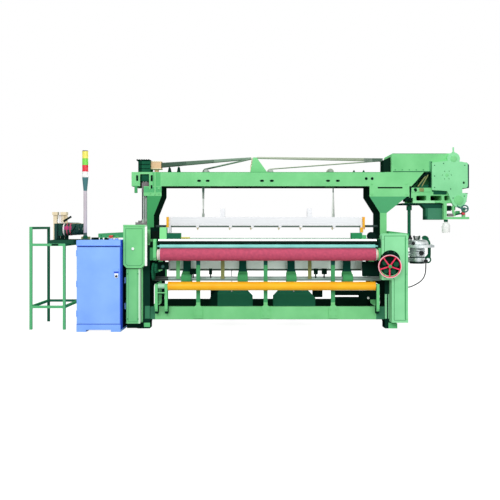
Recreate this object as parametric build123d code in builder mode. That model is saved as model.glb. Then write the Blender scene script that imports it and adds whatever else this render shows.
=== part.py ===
from build123d import *
import os
from math import acos, asin, cos, degrees, hypot, pi, radians, sin, tan

os.makedirs("parts", exist_ok=True)

# Power loom with rapier weft insertion, an overhead arch and a dobby on the arch's right end.
# Millimetres. X runs along the breast beam, with 0 midway between the side frames,
# Y runs into the depth from the weaver's side, and Z is up from the floor.

# Side frames and the anchor holes in their feet
frame_gap = 2380.0
frame_wall = 70.0
frame_front = -520.0
frame_rear = 620.0
frame_top = 850.0
frame_rear_top = 760.0
frame_shoulder = 100.0
frame_rear_low = 420.0
frame_sole_half = 320.0
frame_windows = ((-240.0, 330.0, 160.0, 420.0), (75.0, 420.0, 530.0, 730.0))
window_corner = 45.0
frame_rim = 42.0
frame_pocket = 26.0
frame_inner = frame_gap / 2
frame_outer = frame_inner + frame_wall
foot_reach = 55.0
foot_height = 50.0
foot_length = 140.0
anchor_spacing_y = 900.0
anchor_edge = 25.0
anchor_diameter = 18.0
anchor_x = frame_outer + foot_reach - anchor_edge

# Girders between the side frames
rail_bottom = 88.0
rail_height = 129.0
rail_depth = 60.0
rail_corner = 8.0
rail_front = -500.0
rear_rail_height = 107.0
rear_rail_front = 380.0
beam_web = 25.0
beam_web_front = -490.0
beam_web_bottom = 818.0
beam_flange = 18.0
beam_flange_edge = 6.0
beam_flange_front = -580.0
beam_flange_half = 1110.0
beam_top = 879.0
beam_web_rear = beam_web_front + beam_web
rail_top = rail_bottom + rail_height

# Struts from the front rail to the breast beam
strut_places = (-704.0, -18.0, 668.0)
strut_width = 40.0
strut_lug = 46.0
strut_lug_thickness = 12.0
strut_lug_rise = 20.0
strut_lug_bottom = 100.0

# Rollers at the front
breast_bar_diameter = 28.0
breast_bar_half = 1095.0
breast_bar_y = -565.0
roller_y = -560.0
take_up_diameter = 125.0
take_up_z = 750.0
roller_half = 1085.0
take_up_cap_diameter = 108.0
take_up_cap = 22.0
take_up_journal = 40.0
take_up_journal_end = 1155.0
press_diameter = 42.0
press_y = -548.0
press_gap = 1.3
press_journal = 20.0
cloth_diameter = 88.0
cloth_z = 433.0
cloth_left = -1000.0
cloth_right = 1083.0
cloth_journal = 30.0
cloth_hub_diameter = 52.0
cloth_hub_gap = 2.0
running_gap = 0.05
end_gap = 0.3
bracket_inner = 1112.0
bracket_left_width = 33.0
bracket_right_width = 20.0
bracket_front = -600.0
bracket_bottom = 691.0
bracket_top = 907.0
bracket_chamfer = 30.0
bracket_nose = 20.0
bracket_gap = 2.0
bracket_rear = beam_web_front - bracket_gap
post_width = 28.0
post_places = (-1130.0, -1031.0, 1093.0)
post_front = -590.0
post_rear = -530.0
post_bottom = 155.0
post_tie = (350.0, 364.0)
post_tie_inset = 20.0
post_brace = 30.0
post_shoulder = 10.0
post_lip = 6.0
press_z = take_up_z + ((take_up_diameter / 2 + press_diameter / 2 + press_gap) ** 2
                       - (press_y - roller_y) ** 2) ** 0.5

# Hand wheel and the take-up gearbox behind it
wheel_x = 1202.0
wheel_z = 639.0
wheel_y = -700.0
wheel_radius = 108.5
wheel_rim = 15.0
wheel_spokes = 5
wheel_spoke_width = 13.0
wheel_spoke_thickness = 9.0
wheel_hub = 40.0
wheel_shaft = 24.0
wheel_end_play = 2.0
gearbox_x = 1218.0
gearbox_z = 700.0
gearbox_radius = 97.0
gearbox_depth = 30.0
gearbox_edge = 4.0
gearbox_boss = 46.0
gearbox_boss_rise = 14.0

# Covers at the frame ends
cover_front = -650.0
cover_gap = 5.0
cover_rear = frame_front - cover_gap
right_cover_left = 1134.0
right_cover_right = 1394.0
right_cover_bottom = 77.0
right_cover_top = 962.0
right_cover_step_x = 1231.0
right_cover_step_z = 501.0
right_cover_side = -360.0
right_cover_side_inset = 20.0
cover_journal_room = 1.0
cover_journal_end_room = 3.0
cover_corner = 30.0
cover_line_inset = 22.0
cover_line = 5.0
cover_line_depth = 3.0
left_cover_left = -1434.0
left_cover_right = -1220.0
left_cover_bottom = 619.0
left_cover_top = 1035.0
left_cover_chamfer = 34.0
left_lip = 14.0
lower_cover_left = -1414.0
lower_cover_right = -1273.0
lower_cover_bottom = 64.0
lower_cover_front = -620.0
lower_cover_rear = -380.0
lower_cover_gap = 10.0

# Sley, rocking about a shaft low in the frames
rock_y = -310.0
rock_z = 488.0
rock_diameter = 45.0
rock_bearing_boss = 96.0
sword_places = (-840.0, -254.0, 254.0, 840.0)
sword_width = 75.0
sword_foot = 105.0
sword_thickness = 50.0
race_bottom = 780.0
race_height = 65.0
race_depth = 70.0
race_half = 1060.0
race_slope = 8.0
race_nose = 12.0
reed_height = 45.0
reed_thickness = 6.0
reed_set_back = 6.0
reed_gaps = 100
reed_gap_share = 0.7
reed_edge = 5.0
cap_height = 22.0
cap_depth = 26.0
cap_post = 15.0
race_top = race_bottom + race_height
reed_top = race_top + reed_height

# Heald frames, one behind the other
heald_count = 4
heald_pitch = 20.0
heald_thickness = 10.0
heald_first_y = -155.0
heald_centre = -12.0
heald_half = 1037.0
heald_stay = 25.0
heald_top = 1133.0
heald_top_rail = 89.0
heald_bottom = 560.0
heald_bottom_rail = 89.0
heald_bar = 18.0
heald_bar_drop = 3.0
heald_bar_thickness = 4.0
heald_hook_places = (-739.0, -387.0, -152.0, 142.0, 365.0, 719.0)
heald_hook_top = 40.0
heald_hook_tip = 12.0
heald_hook_height = 36.0
heald_post_places = (-472.0, 458.0)
heald_post_width = 50.0
heald_post_rise = 92.0
heald_rod_diameter = 8.0
heald_guide_width = 25.0
heald_guide_groove = 8.0
heald_guide_gap = 1.0
heald_guide_bottom = 1048.0
heald_guide_height = 86.0

# Spring boxes that pull the heald frames down
spring_box_top = 335.0
spring_box_bottom = 150.0
spring_box_front = -250.0
spring_box_rear = 0.0
spring_box_spans = ((-600.0, -150.0), (70.0, 510.0))
spring_box_chamfer = 55.0
spring_box_bore = 12.0
spring_rod_bottom = 190.0
spring_bearer_width = 60.0
spring_bearer_height = 40.0

# Arch over the loom
arch_front = -260.0
arch_depth = 400.0
arch_bottom = 1456.0
arch_height = 149.0
arch_right = 1653.0
arch_right_low = 1525.0
yoke_left = -1425.0
yoke_plate = 25.0
yoke_window = (-1335.0, -1240.0)
yoke_window_top = 1583.0
arch_slot_rows = ((1513.0, (-714.0, -623.0, -52.0, 51.0, 643.0, 746.0)), (1536.0, (1045.0, 1107.0)))
arch_slot_length = 28.0
arch_slot_width = 14.0
arch_slot_depth = 12.0
arch_rear = arch_front + arch_depth
arch_top = arch_bottom + arch_height
leg_head_left = 1109.0
leg_head_outer = 1297.0
leg_head_bottom = 1354.0
leg_gusset_bottom = 1150.0
panel_left = 1080.0
panel_right = 1499.0
panel_bottom = 1347.0
panel_gusset_right = 1475.0
panel_gusset_bottom = 1174.0
panel_slot = (1165.0, 1428.0)
panel_slot_height = 16.0
panel_slot_depth = 12.0
fin_points = ((-176.0, 0.0), (-146.0, 162.0), (-108.0, 162.0), (8.0, 0.0))
fin_front = -180.0
fin_rear = -70.0

# Lift pulleys on the arch and the cables over them
pulley_places = (-646.0, 41.0, 679.0)
pulley_radius = 31.0
pulley_axis_rise = 7.0
pulley_width = 12.0
pulley_axle = 13.0
pulley_cheek = 12.0
pulley_cheek_width = 40.0
pulley_cheek_rise = 26.0
cable_radius = 4.0
wire_radius = 3.0
cable_gap = 0.2
slot_side = 18.0
centre_pocket_right = 345.0
centre_pocket_depth = 50.0
corner_block = (-1234.0, -1126.0)
corner_block_bottom = 1645.0
corner_block_top = 1723.0
corner_post = 46.0
bundle_start = (1662.0, 1710.0)
bundle_end = (1748.0, 1760.0)
upper_cable = (1754.0, 1731.0)
low_cable_end = 1716.0
left_cable_end = 1700.0
cable_support_places = (-1040.0, -942.0)
cable_support_width = 34.0
pulley_z = arch_top + pulley_axis_rise
wire_offset = pulley_radius + wire_radius + cable_gap
cable_rise = pulley_radius + cable_radius + cable_gap

# Spring bank on the arch's left end
bank_left = -1360.0
bank_flare = 14.0
bank_flare_height = 24.0
bank_rise = 132.0
bank_height = 227.0
bank_front = -230.0
bank_rear = -20.0
tube_columns = (-1312.0, -1280.0)
tube_radius = 14.0
tube_pitch = 50.0
tube_first_y = -200.0
tube_length = 431.0
tube_foot_left = -1391.0
tube_foot_height = 39.0
bank_top = arch_top + bank_rise
bank_foot = bank_top - bank_height
tube_bottom = bank_foot - tube_length

# Dobby on the arch's right end
dobby_left = 1311.0
dobby_right = 1936.0
dobby_rise = 196.0
dobby_front = -260.0
dobby_rear = 140.0
dobby_edge = 12.0
hood_left = 1236.0
hood_rises = (130.0, 163.0)
case_left = 1740.0
case_right = 2127.0
case_drop = 95.0
case_corner = 25.0
case_notch_left = 2044.0
case_notch = (1384.0, 1437.0)
case_lip_top_right = 2113.0
case_lip_bottom_right = 2098.0
case_lip_bottom = 1290.0
case_bottom = 1393.0
case_frame_left = 1537.0
case_frame_right = 1945.0
case_frame_bottom = 1279.0
case_windows = ((1571.0, 1677.0), (1720.0, 1838.0), (1866.0, 1916.0))
case_window = (1305.0, 1357.0)
case_rear = 120.0
case_base_left = 1432.0
case_base = 14.0
case_arm = 60.0
jack_count = 4
jack_thickness = 14.0
jack_width = 34.0
jack_pitch = 70.0
dobby_plate_thickness = 30.0
plate_points = (
    (-206.0, -189.0),
    (-206.0, 96.0),
    (-53.0, 117.0),
    (99.0, 107.0),
    (167.0, 93.0),
    (169.0, -151.0),
    (154.0, -169.0),
    (111.0, -170.0),
    (111.0, -221.0),
    (166.0, -228.0),
    (152.0, -305.0),
    (-4.0, -305.0),
    (-47.0, -202.0),
)
plate_lobes = ((20.0, 137.0, 66.0), (74.0, -297.0, 76.0))
plate_ring = (-51.0, -34.0)
plate_ring_radius = 46.0
plate_ring_holes = 6
plate_hole = 5.0
plate_bolt = (127.0, -114.0)
plate_bolt_radius = 13.0
lifting_pin_rise = 258.0
lifting_pin_radius = 8.0
dobby_top = arch_top + dobby_rise
case_top = dobby_top - case_drop
drain_left = 1850.0
drain_right = 1881.0
drain_bottom = 1103.0
drain_bar = (1108.0, 1132.0)
drain_bar_right = 2116.0
drain_front = -300.0
drain_depth = 60.0
sump_left = 1675.0
sump_right = 1863.0
sump_bottom = 1103.0
sump_front = -240.0
sump_depth = 120.0
sump_flare = 45.0
bottle_x = 1880.0
bottle_hang = 136.0
bottle_profile = ((37.0, 0.0), (41.0, 8.0), (43.0, 73.0), (33.0, 93.0), (15.0, 115.0), (15.0, bottle_hang))
small_wheel_x = 2060.0
small_wheel_z = 1217.0
small_wheel_radius = 34.0
small_wheel_rim = 14.0
small_wheel_pin = 12.0
small_wheel_post = 30.0

# Main drive at the right side
main_y = -200.0
main_z = 745.0
main_shaft = 40.0
main_shaft_inner = 1192.0
main_shaft_entry = 37.0
main_pulley_radius = 140.0
belt_offset = 40.0
belt_width = 44.0
belt_thickness = 8.0
belt_gap = 0.3
pulley_rim = 16.0
pulley_web = 14.0
motor_y = 400.0
motor_z = 300.0
motor_radius = 95.0
motor_left = 1362.0
motor_right = 1590.0
motor_shaft = 28.0
motor_bore = 40.0
motor_pulley_radius = 50.0
motor_base = 15.0
motor_clearance = 6.0
motor_base_depth = 200.0
motor_pad_offset = 30.0
motor_pad_length = 320.0
motor_pad_height = 300.0
clutch_offset = 251.0
clutch_disc = 180.0
clutch_disc_z = (812.0, 838.0)
clutch_dome = 117.0
clutch_dome_top = 890.0
clutch_dome_fillet = 40.0
clutch_barrel = 78.0
clutch_barrel_bottom = 640.0
clutch_band = (679.0, 705.0)
clutch_band_reach = 4.0
clutch_arm_front = -38.0
clutch_arm_depth = 60.0
clutch_arm_end = 1780.0
clutch_link = 50.0
clutch_arm = (640.0, 700.0)
clutch_stud_places = ((1566.0, -200.0), (1622.0, -200.0))
clutch_stud = 14.0
clutch_stud_top = 930.0
drive_offset = 75.0
drive_y = -160.0
drive_diameter = 35.0
drive_bottom = 860.0
drive_end_play = 2.0
drive_boss = 56.0
drive_boss_top = 898.0
coupling_diameter = 56.0
coupling_span = (1205.0, 1255.0)
lever_offset = 148.0
lever_z = 672.0
lever_front = -74.0
lever_thickness = 32.0
lever_bulge = 38.0
lever_pin = 20.0
lever_pin_head = 6.0
lever_collar = (8.0, 14.0)
lever_arm = (
    (7.0, 63.0),
    (7.0, 156.0),
    (-2.0, 188.0),
    (-27.0, 212.0),
    (-45.0, 208.0),
    (-55.0, 229.0),
    (-19.0, 251.0),
    (23.0, 202.0),
    (33.0, 160.0),
    (33.0, 63.0),
)
belt_left = frame_outer + belt_offset
clutch_x = belt_left + belt_width + clutch_offset
main_shaft_outer = clutch_x - clutch_barrel - clutch_band_reach + main_shaft_entry
drive_x = clutch_x - drive_offset
lever_x = clutch_x + lever_offset

# Cable that hangs from the clutch unit to the right cover
cable_diameter = 12.0
cable_route = (
    (1739.0, -8.0, 630.0),
    (1739.0, -8.0, 580.0),
    (1724.0, -46.0, 522.0),
    (1691.0, -98.0, 477.0),
    (1646.0, -158.0, 448.0),
    (1593.0, -226.0, 429.0),
    (1534.0, -302.0, 415.0),
    (1462.0, -400.0, 404.0),
    (1404.0, -400.0, 404.0),
)
cable_bend_share = 0.45
gland_length = 10.0
gland_diameter = 28.0

# Back rest and the seats for the warp beam
rest_y = 560.0
rest_z = 820.0
rest_diameter = 110.0
rest_half = 1120.0
rest_journal = 40.0
rest_plate = 40.0
rest_plate_bottom = 640.0
rest_plate_half = 62.0
seat_y = 720.0
seat_z = 470.0
seat_radius = 32.0
seat_plate = 40.0
seat_wall = 28.0

# Guides on the breast beam, and rapier covers beside the arch legs
temple_front = -545.0
temple_rear = -470.0
left_temple_blocks = (
    (-1161.0, -1088.0, 30.0, 106.0),
    (-1088.0, -1017.0, 0.0, 144.0),
    (-1017.0, -877.0, 0.0, 87.0),
)
left_temple_bar = (-877.0, -786.0)
temple_bar_rise = 36.0
temple_bar_radius = 10.0
right_temple_blocks = ((847.0, 953.0, 0.0, 89.0), (953.0, 996.0, 0.0, 66.0), (996.0, 1100.0, 0.0, 26.0))
right_temple_drum = (1056.0, 55.0, 42.0)
rapier_cover_end = -1752.0
rapier_cover_right_end = 1470.0
rapier_cover_front = -355.0
rapier_cover_rear = -180.0
rapier_cover_bottom = 916.0
rapier_cover_tops = (959.0, 985.0)

# Weft stand with its feeders
stand_tube = 25.0
stand_left = -2383.0
stand_right = -2024.0
stand_front = -600.0
stand_rear = -15.0
stand_tall = 1029.0
stand_low = 861.0
stand_brace = 239.0
feeder_count = 3
feeder_first_y = -480.0
feeder_pitch = 150.0
feeder_axis_z = 1004.0
feeder_radius = 60.0
feeder_housing_left = -2150.0
feeder_housing_right = -2076.0
feeder_housing = (936.0, 1066.0)
feeder_housing_width = 76.0
feeder_nose = -1926.0
feeder_nose_radius = 44.0
feeder_nose_fillet = 16.0
feeder_drum_right = -1946.0
feeder_drum_left = -2060.0
feeder_disc_radius = 65.0
feeder_disc = 10.0
feeder_axle = 22.0
feeder_base = (-2176.0, -1940.0)
feeder_base_thickness = 36.0
feeder_base_rear = -130.0
feeder_post = 36.0
feeder_post_x = -2137.0
feeder_post_y = -545.0
feeder_post_top = 1147.0
feeder_plate = (-2160.0, -2020.0)
feeder_plate_thickness = 30.0
sensor_places = (-2085.0, -2055.0, -2028.0)
sensor_radius = 13.0
sensor_length = 80.0

# Control cabinet
cabinet_left = -1874.0
cabinet_width = 432.0
cabinet_front = -740.0
cabinet_rear = -360.0
cabinet_top = 898.0
cabinet_band = 58.0
cabinet_plinth = 58.0
cabinet_foot = 20.0
cabinet_foot_width = 95.0
cabinet_wall = 5.0
door_thickness = 18.0
door_gap = 2.0
door_joint = 10.0
cabinet_right = cabinet_left + cabinet_width
handle_x = -1482.0
handle_z = 586.0
handle_length = 60.0
handle_width = 44.0
handle_depth = 10.0
lock_z = 545.0
lock_radius = 17.0
tie_heights = (200.0, 460.0)
tie_size = 60.0
tie_front = -560.0
gear_plate = 6.0
gear_edge = 30.0
gear_rows = ((160.0, 110.0, 90.0), (360.0, 130.0, 120.0), (590.0, 110.0, 90.0))
button_y = -650.0
stop_x = -1555.0
stop_radius = 22.0
stop_head = 20.0
start_x = -1500.0
start_radius = 18.0
start_head = 12.0
button_stem = 18.0
button_bore = 6.0
button_collar = 22.0
button_travel = 4.0
button_gap = 0.3
button_seat = 3.0

# Signal lamp tower on the cabinet
lamp_x = -1823.0
lamp_y = -600.0
lamp_pole = 35.0
lamp_pole_top = 1393.0
lamp_base = 70.0
lamp_base_height = 12.0
lamp_holder_top = 1523.0
lamp_radius = 30.5
lamp_levels = (1523.0, 1580.0, 1645.0, 1711.0, 1783.0)
lamp_cap = 8.0
lamp_seam = 1.5


def save(name, piece):
    """Label one finished piece and write it to its own file."""
    piece.label = name
    export_step(piece, f"parts/{name}.step")


def save_group(name, pieces):
    """Write several separate solids as one named group."""
    save(name, Compound(children=list(pieces)))


def front_prism(points, front, rear):
    """A prism on an outline in the XZ plane, from the front depth to the rear depth."""
    with BuildPart() as prism:
        with BuildSketch(Plane.XZ.offset(-rear)):
            with BuildLine():
                Polyline(*points, close=True)
            make_face()
        extrude(amount=rear - front)
    return prism.part


def side_prism(points, left, right):
    """A prism on an outline in the YZ plane, from the left place to the right one."""
    with BuildPart() as prism:
        with BuildSketch(Plane.YZ.offset(left)):
            with BuildLine():
                Polyline(*points, close=True)
            make_face()
        extrude(amount=right - left)
    return prism.part


def block(x_span, y_span, z_span):
    """A rectangular bar or plate between two corners."""
    with BuildPart() as bar:
        with BuildSketch(Plane.XY.offset(z_span[0])):
            with Locations((sum(x_span) / 2, sum(y_span) / 2)):
                Rectangle(x_span[1] - x_span[0], y_span[1] - y_span[0])
        extrude(amount=z_span[1] - z_span[0])
    return bar.part


def rod_x(y, z, radius, left, right):
    """A round rod along X."""
    with BuildPart() as rod:
        with BuildSketch(Plane.YZ.offset(left)):
            with Locations((y, z)):
                Circle(radius)
        extrude(amount=right - left)
    return rod.part


def rod_y(x, z, radius, front, rear):
    """A round rod along Y."""
    with BuildPart() as rod:
        with BuildSketch(Plane.XZ.offset(-rear)):
            with Locations((x, z)):
                Circle(radius)
        extrude(amount=rear - front)
    return rod.part


def rod_z(x, y, radius, bottom, top):
    """A round rod along Z."""
    with BuildPart() as rod:
        with BuildSketch(Plane.XY.offset(bottom)):
            with Locations((x, y)):
                Circle(radius)
        extrude(amount=top - bottom)
    return rod.part


def strand(start, end, radius):
    """A straight run of cable between two points."""
    with BuildPart() as run:
        with BuildSketch(Plane(origin=start, z_dir=Vector(*end) - Vector(*start))):
            Circle(radius)
        extrude(amount=(Vector(*end) - Vector(*start)).length)
    return run.part


def heald_y(number):
    """The depth of the middle of one heald frame."""
    return heald_first_y + number * heald_pitch


# Side frames: cast plates with a rim, two windows, bearing bosses and bolted feet
frame_outline = (
    (frame_front, foot_height),
    (frame_front, frame_top),
    (arch_rear + frame_shoulder, frame_top),
    (frame_rear, frame_rear_top),
    (frame_rear, frame_rear_low),
    (anchor_spacing_y / 2 + foot_length / 2, foot_height),
    (anchor_spacing_y / 2 - foot_length / 2, foot_height),
    (frame_sole_half, rail_bottom),
    (-frame_sole_half, rail_bottom),
    (-anchor_spacing_y / 2 + foot_length / 2, foot_height),
)


def frame_casting():
    """The right side frame before its shaft holes."""
    with BuildPart() as casting:
        with BuildSketch(Plane.YZ.offset(frame_inner)) as outline:
            with BuildLine():
                Polyline(*frame_outline, close=True)
            make_face()
            for front, rear, bottom, top in frame_windows:
                with Locations(((front + rear) / 2, (bottom + top) / 2)):
                    RectangleRounded(rear - front, top - bottom, window_corner, mode=Mode.SUBTRACT)
        extrude(amount=frame_wall)
        with BuildSketch(Plane.YZ.offset(frame_outer)):
            with BuildLine():
                Polyline(*frame_outline, close=True)
            make_face()
            offset(amount=-frame_rim, kind=Kind.INTERSECTION)
            for front, rear, bottom, top in frame_windows:
                with Locations(((front + rear) / 2, (bottom + top) / 2)):
                    Rectangle(rear - front + 2 * frame_rim, top - bottom + 2 * frame_rim, mode=Mode.SUBTRACT)
            with Locations((rock_y, rock_z), (main_y, main_z)):
                Circle(rock_bearing_boss / 2, mode=Mode.SUBTRACT)
            with Locations((motor_y + motor_pad_offset, motor_z)):
                Rectangle(motor_pad_length, motor_pad_height, mode=Mode.SUBTRACT)
        extrude(amount=-frame_pocket, mode=Mode.SUBTRACT)
        with BuildSketch(Plane.XY):
            with Locations((frame_inner + (frame_wall + foot_reach) / 2, 0)):
                with GridLocations(0, anchor_spacing_y, 1, 2):
                    Rectangle(frame_wall + foot_reach, foot_length)
        extrude(amount=foot_height)
        with BuildSketch(Plane.XY):
            with Locations((anchor_x, 0)):
                with GridLocations(0, anchor_spacing_y, 1, 2):
                    Circle(anchor_diameter / 2)
        extrude(amount=foot_height, mode=Mode.SUBTRACT)
        with Locations(Plane.YZ.offset(frame_inner)):
            with Locations((rock_y, rock_z)):
                Cylinder(rock_diameter / 2 + running_gap, 2 * frame_wall, mode=Mode.SUBTRACT)
    return casting.part


with BuildPart() as right_side_frame:
    add(frame_casting())
    with BuildSketch(Plane.YZ.offset(main_shaft_inner)):
        with Locations((main_y, main_z)):
            Circle(main_shaft / 2 + running_gap)
    extrude(amount=frame_wall, mode=Mode.SUBTRACT)
save("right_side_frame", right_side_frame.part)

with BuildPart() as left_side_frame:
    mirror(frame_casting(), about=Plane.YZ)
save("left_side_frame", left_side_frame.part)

# Bottom rails, front and rear
bottom_rails = []
for rail_face, height in ((rail_front, rail_height), (rear_rail_front, rear_rail_height)):
    with BuildPart() as rail:
        with BuildSketch(Plane.YZ.offset(-frame_inner)):
            with Locations((rail_face + rail_depth / 2, rail_bottom + height / 2)):
                RectangleRounded(rail_depth, height, rail_corner)
        extrude(amount=frame_gap)
    bottom_rails.append(rail.part)
save_group("bottom_rails", bottom_rails)

# Breast beam: an angle whose flange carries the polished bar
with BuildPart() as breast_beam:
    with BuildSketch(Plane.YZ.offset(-frame_inner)):
        with BuildLine():
            Polyline(
                (beam_web_front, beam_web_bottom),
                (beam_web_rear, beam_web_bottom),
                (beam_web_rear, beam_top),
                (beam_web_front, beam_top),
                close=True,
            )
        make_face()
    extrude(amount=frame_gap)
    with BuildSketch(Plane.YZ.offset(-beam_flange_half)):
        with BuildLine():
            Polyline(
                (beam_flange_front, beam_top - beam_flange + beam_flange_edge),
                (beam_flange_front + beam_flange_edge, beam_top - beam_flange),
                (beam_web_front, beam_top - beam_flange),
                (beam_web_front, beam_top),
                (beam_flange_front, beam_top),
                close=True,
            )
        make_face()
    extrude(amount=2 * beam_flange_half)
save("breast_beam", breast_beam.part)

save("breast_bar", rod_x(breast_bar_y, beam_top + breast_bar_diameter / 2, breast_bar_diameter / 2,
                         -breast_bar_half, breast_bar_half))


def breast_strut(place):
    """A strut with a round lug bolted to the rail's front and top."""
    with BuildPart() as strut:
        with BuildSketch(Plane.XZ.offset(-rail_front)):
            with Locations((place, (strut_lug_bottom + rail_top - strut_lug / 2) / 2)):
                Rectangle(2 * strut_lug, rail_top - strut_lug / 2 - strut_lug_bottom)
            with Locations((place, rail_top + strut_lug_rise - strut_lug)):
                Circle(strut_lug)
        extrude(amount=strut_lug_thickness)
        with BuildSketch(Plane.XY.offset(rail_top)):
            with Locations((place, (rail_front - strut_lug_thickness + beam_web_rear) / 2)):
                Rectangle(strut_width, beam_web_rear - rail_front + strut_lug_thickness)
        extrude(amount=strut_lug_rise / 2)
        with BuildSketch(Plane.XY.offset(rail_top)):
            with Locations((place, (beam_web_front + beam_web_rear) / 2)):
                Rectangle(strut_width, beam_web)
        extrude(amount=beam_web_bottom - rail_top)
    return strut.part


save_group("breast_struts", [breast_strut(place) for place in strut_places])


# Take-up roller with its end caps, press roller and cloth roller
with BuildPart() as take_up_roller:
    add(rod_x(roller_y, take_up_z, take_up_diameter / 2, -roller_half, roller_half))
    add(rod_x(roller_y, take_up_z, take_up_cap_diameter / 2,
              -roller_half - take_up_cap, roller_half + take_up_cap))
    add(rod_x(roller_y, take_up_z, take_up_journal / 2,
              -bracket_inner - bracket_left_width, take_up_journal_end))
save("take_up_roller", take_up_roller.part)

with BuildPart() as press_roller:
    add(rod_x(press_y, press_z, press_diameter / 2, -roller_half, roller_half))
    add(rod_x(press_y, press_z, press_journal / 2,
              -bracket_inner - bracket_left_width, bracket_inner + bracket_right_width))
save("press_roller", press_roller.part)

with BuildPart() as cloth_roller:
    add(rod_x(roller_y, cloth_z, cloth_diameter / 2, cloth_left, cloth_right))
    add(rod_x(roller_y, cloth_z, cloth_journal / 2, post_places[0], post_places[-1] + post_width))
    add(rod_x(roller_y, cloth_z, cloth_hub_diameter / 2,
              post_places[0] + post_width + cloth_hub_gap, post_places[1] - cloth_hub_gap))
save("cloth_roller", cloth_roller.part)


def end_bracket(side, width):
    """A cast bracket that carries the take-up and press rollers at one end."""
    inner = min(side * bracket_inner, side * (bracket_inner + width))
    foot = sorted((side * bracket_inner, side * frame_inner))
    with BuildPart() as bracket:
        with BuildSketch(Plane.YZ.offset(inner)) as outline:
            with BuildLine():
                Polyline(
                    (bracket_rear, bracket_bottom),
                    (bracket_front + bracket_chamfer, bracket_bottom),
                    (bracket_front, bracket_bottom + bracket_chamfer),
                    (bracket_front, bracket_top - bracket_chamfer),
                    (bracket_front + bracket_nose, bracket_top),
                    (bracket_rear, bracket_top),
                    close=True,
                )
            make_face()
        extrude(amount=width)
        add(block(foot, (frame_front, bracket_rear), (bracket_bottom, beam_web_bottom)))
        with BuildSketch(Plane.YZ.offset(inner)):
            with Locations((roller_y, take_up_z)):
                Circle(take_up_journal / 2 + running_gap)
            with Locations((press_y, press_z)):
                Circle(press_journal / 2 + running_gap)
        extrude(amount=width, mode=Mode.SUBTRACT)
    return bracket.part


def cloth_post(left):
    """A post on the front rail with an open seat for the cloth roller's journal."""
    seat = cloth_journal / 2 + running_gap
    with BuildPart() as post:
        with BuildSketch(Plane.YZ.offset(left)):
            with BuildLine():
                Polyline(
                    (rail_front, post_bottom),
                    (rail_front, rail_top),
                    (post_rear, rail_top + post_brace),
                    (post_rear, cloth_z + seat + post_lip),
                    (post_front, cloth_z + seat + post_lip),
                    (post_front, rail_top - post_shoulder),
                    (post_front + post_brace, post_bottom),
                    close=True,
                )
            make_face()
            with Locations((roller_y, cloth_z)):
                Circle(seat, mode=Mode.SUBTRACT)
            with Locations((roller_y, cloth_z + seat)):
                Rectangle(2 * seat, 2 * seat, mode=Mode.SUBTRACT)
        extrude(amount=post_width)
    return post.part


post_bar = block((post_places[0] + post_width, post_places[1]),
                 (post_front + post_tie_inset, post_rear), post_tie)
save_group(
    "roller_brackets",
    [end_bracket(-1, bracket_left_width), end_bracket(1, bracket_right_width), post_bar]
    + [cloth_post(left) for left in post_places],
)

# Take-up gearbox set into the right cover, with the boss that the hand wheel's shaft runs in
with BuildPart() as take_up_gearbox:
    with BuildSketch(Plane.XZ.offset(-cover_front - gearbox_depth)):
        with Locations((gearbox_x, gearbox_z)):
            Circle(gearbox_radius)
    extrude(amount=gearbox_depth)
    fillet(take_up_gearbox.faces().sort_by(Axis.Y)[0].edges(), radius=gearbox_edge)
    with BuildSketch(Plane.XZ.offset(-cover_front)):
        with Locations((wheel_x, wheel_z)):
            Circle(gearbox_boss / 2)
    extrude(amount=gearbox_boss_rise)
    with BuildSketch(Plane.XZ.offset(-cover_front + gearbox_boss_rise)):
        with Locations((wheel_x, wheel_z)):
            Circle(wheel_shaft / 2 + running_gap)
    extrude(amount=-gearbox_boss_rise - gearbox_depth, mode=Mode.SUBTRACT)
save("take_up_gearbox", take_up_gearbox.part)

with BuildPart() as handwheel:
    with BuildSketch(Plane.XY.offset(wheel_z)):
        with Locations((wheel_x + wheel_radius, wheel_y)):
            Circle(wheel_rim / 2)
    revolve(axis=Axis((wheel_x, wheel_y, wheel_z), (0, 1, 0)))
    with BuildSketch(Plane.XZ.offset(-wheel_y - wheel_spoke_thickness / 2)):
        with Locations((wheel_x, wheel_z)):
            with PolarLocations(wheel_radius / 2, wheel_spokes, start_angle=-90):
                Rectangle(wheel_radius, wheel_spoke_width)
            Circle(wheel_hub / 2)
    extrude(amount=-wheel_spoke_thickness)
    add(rod_y(wheel_x, wheel_z, wheel_hub / 2, wheel_y - wheel_rim, wheel_y + wheel_rim))
    add(rod_y(wheel_x, wheel_z, wheel_shaft / 2, wheel_y, cover_front + gearbox_depth - wheel_end_play))
save("handwheel", handwheel.part)

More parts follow.
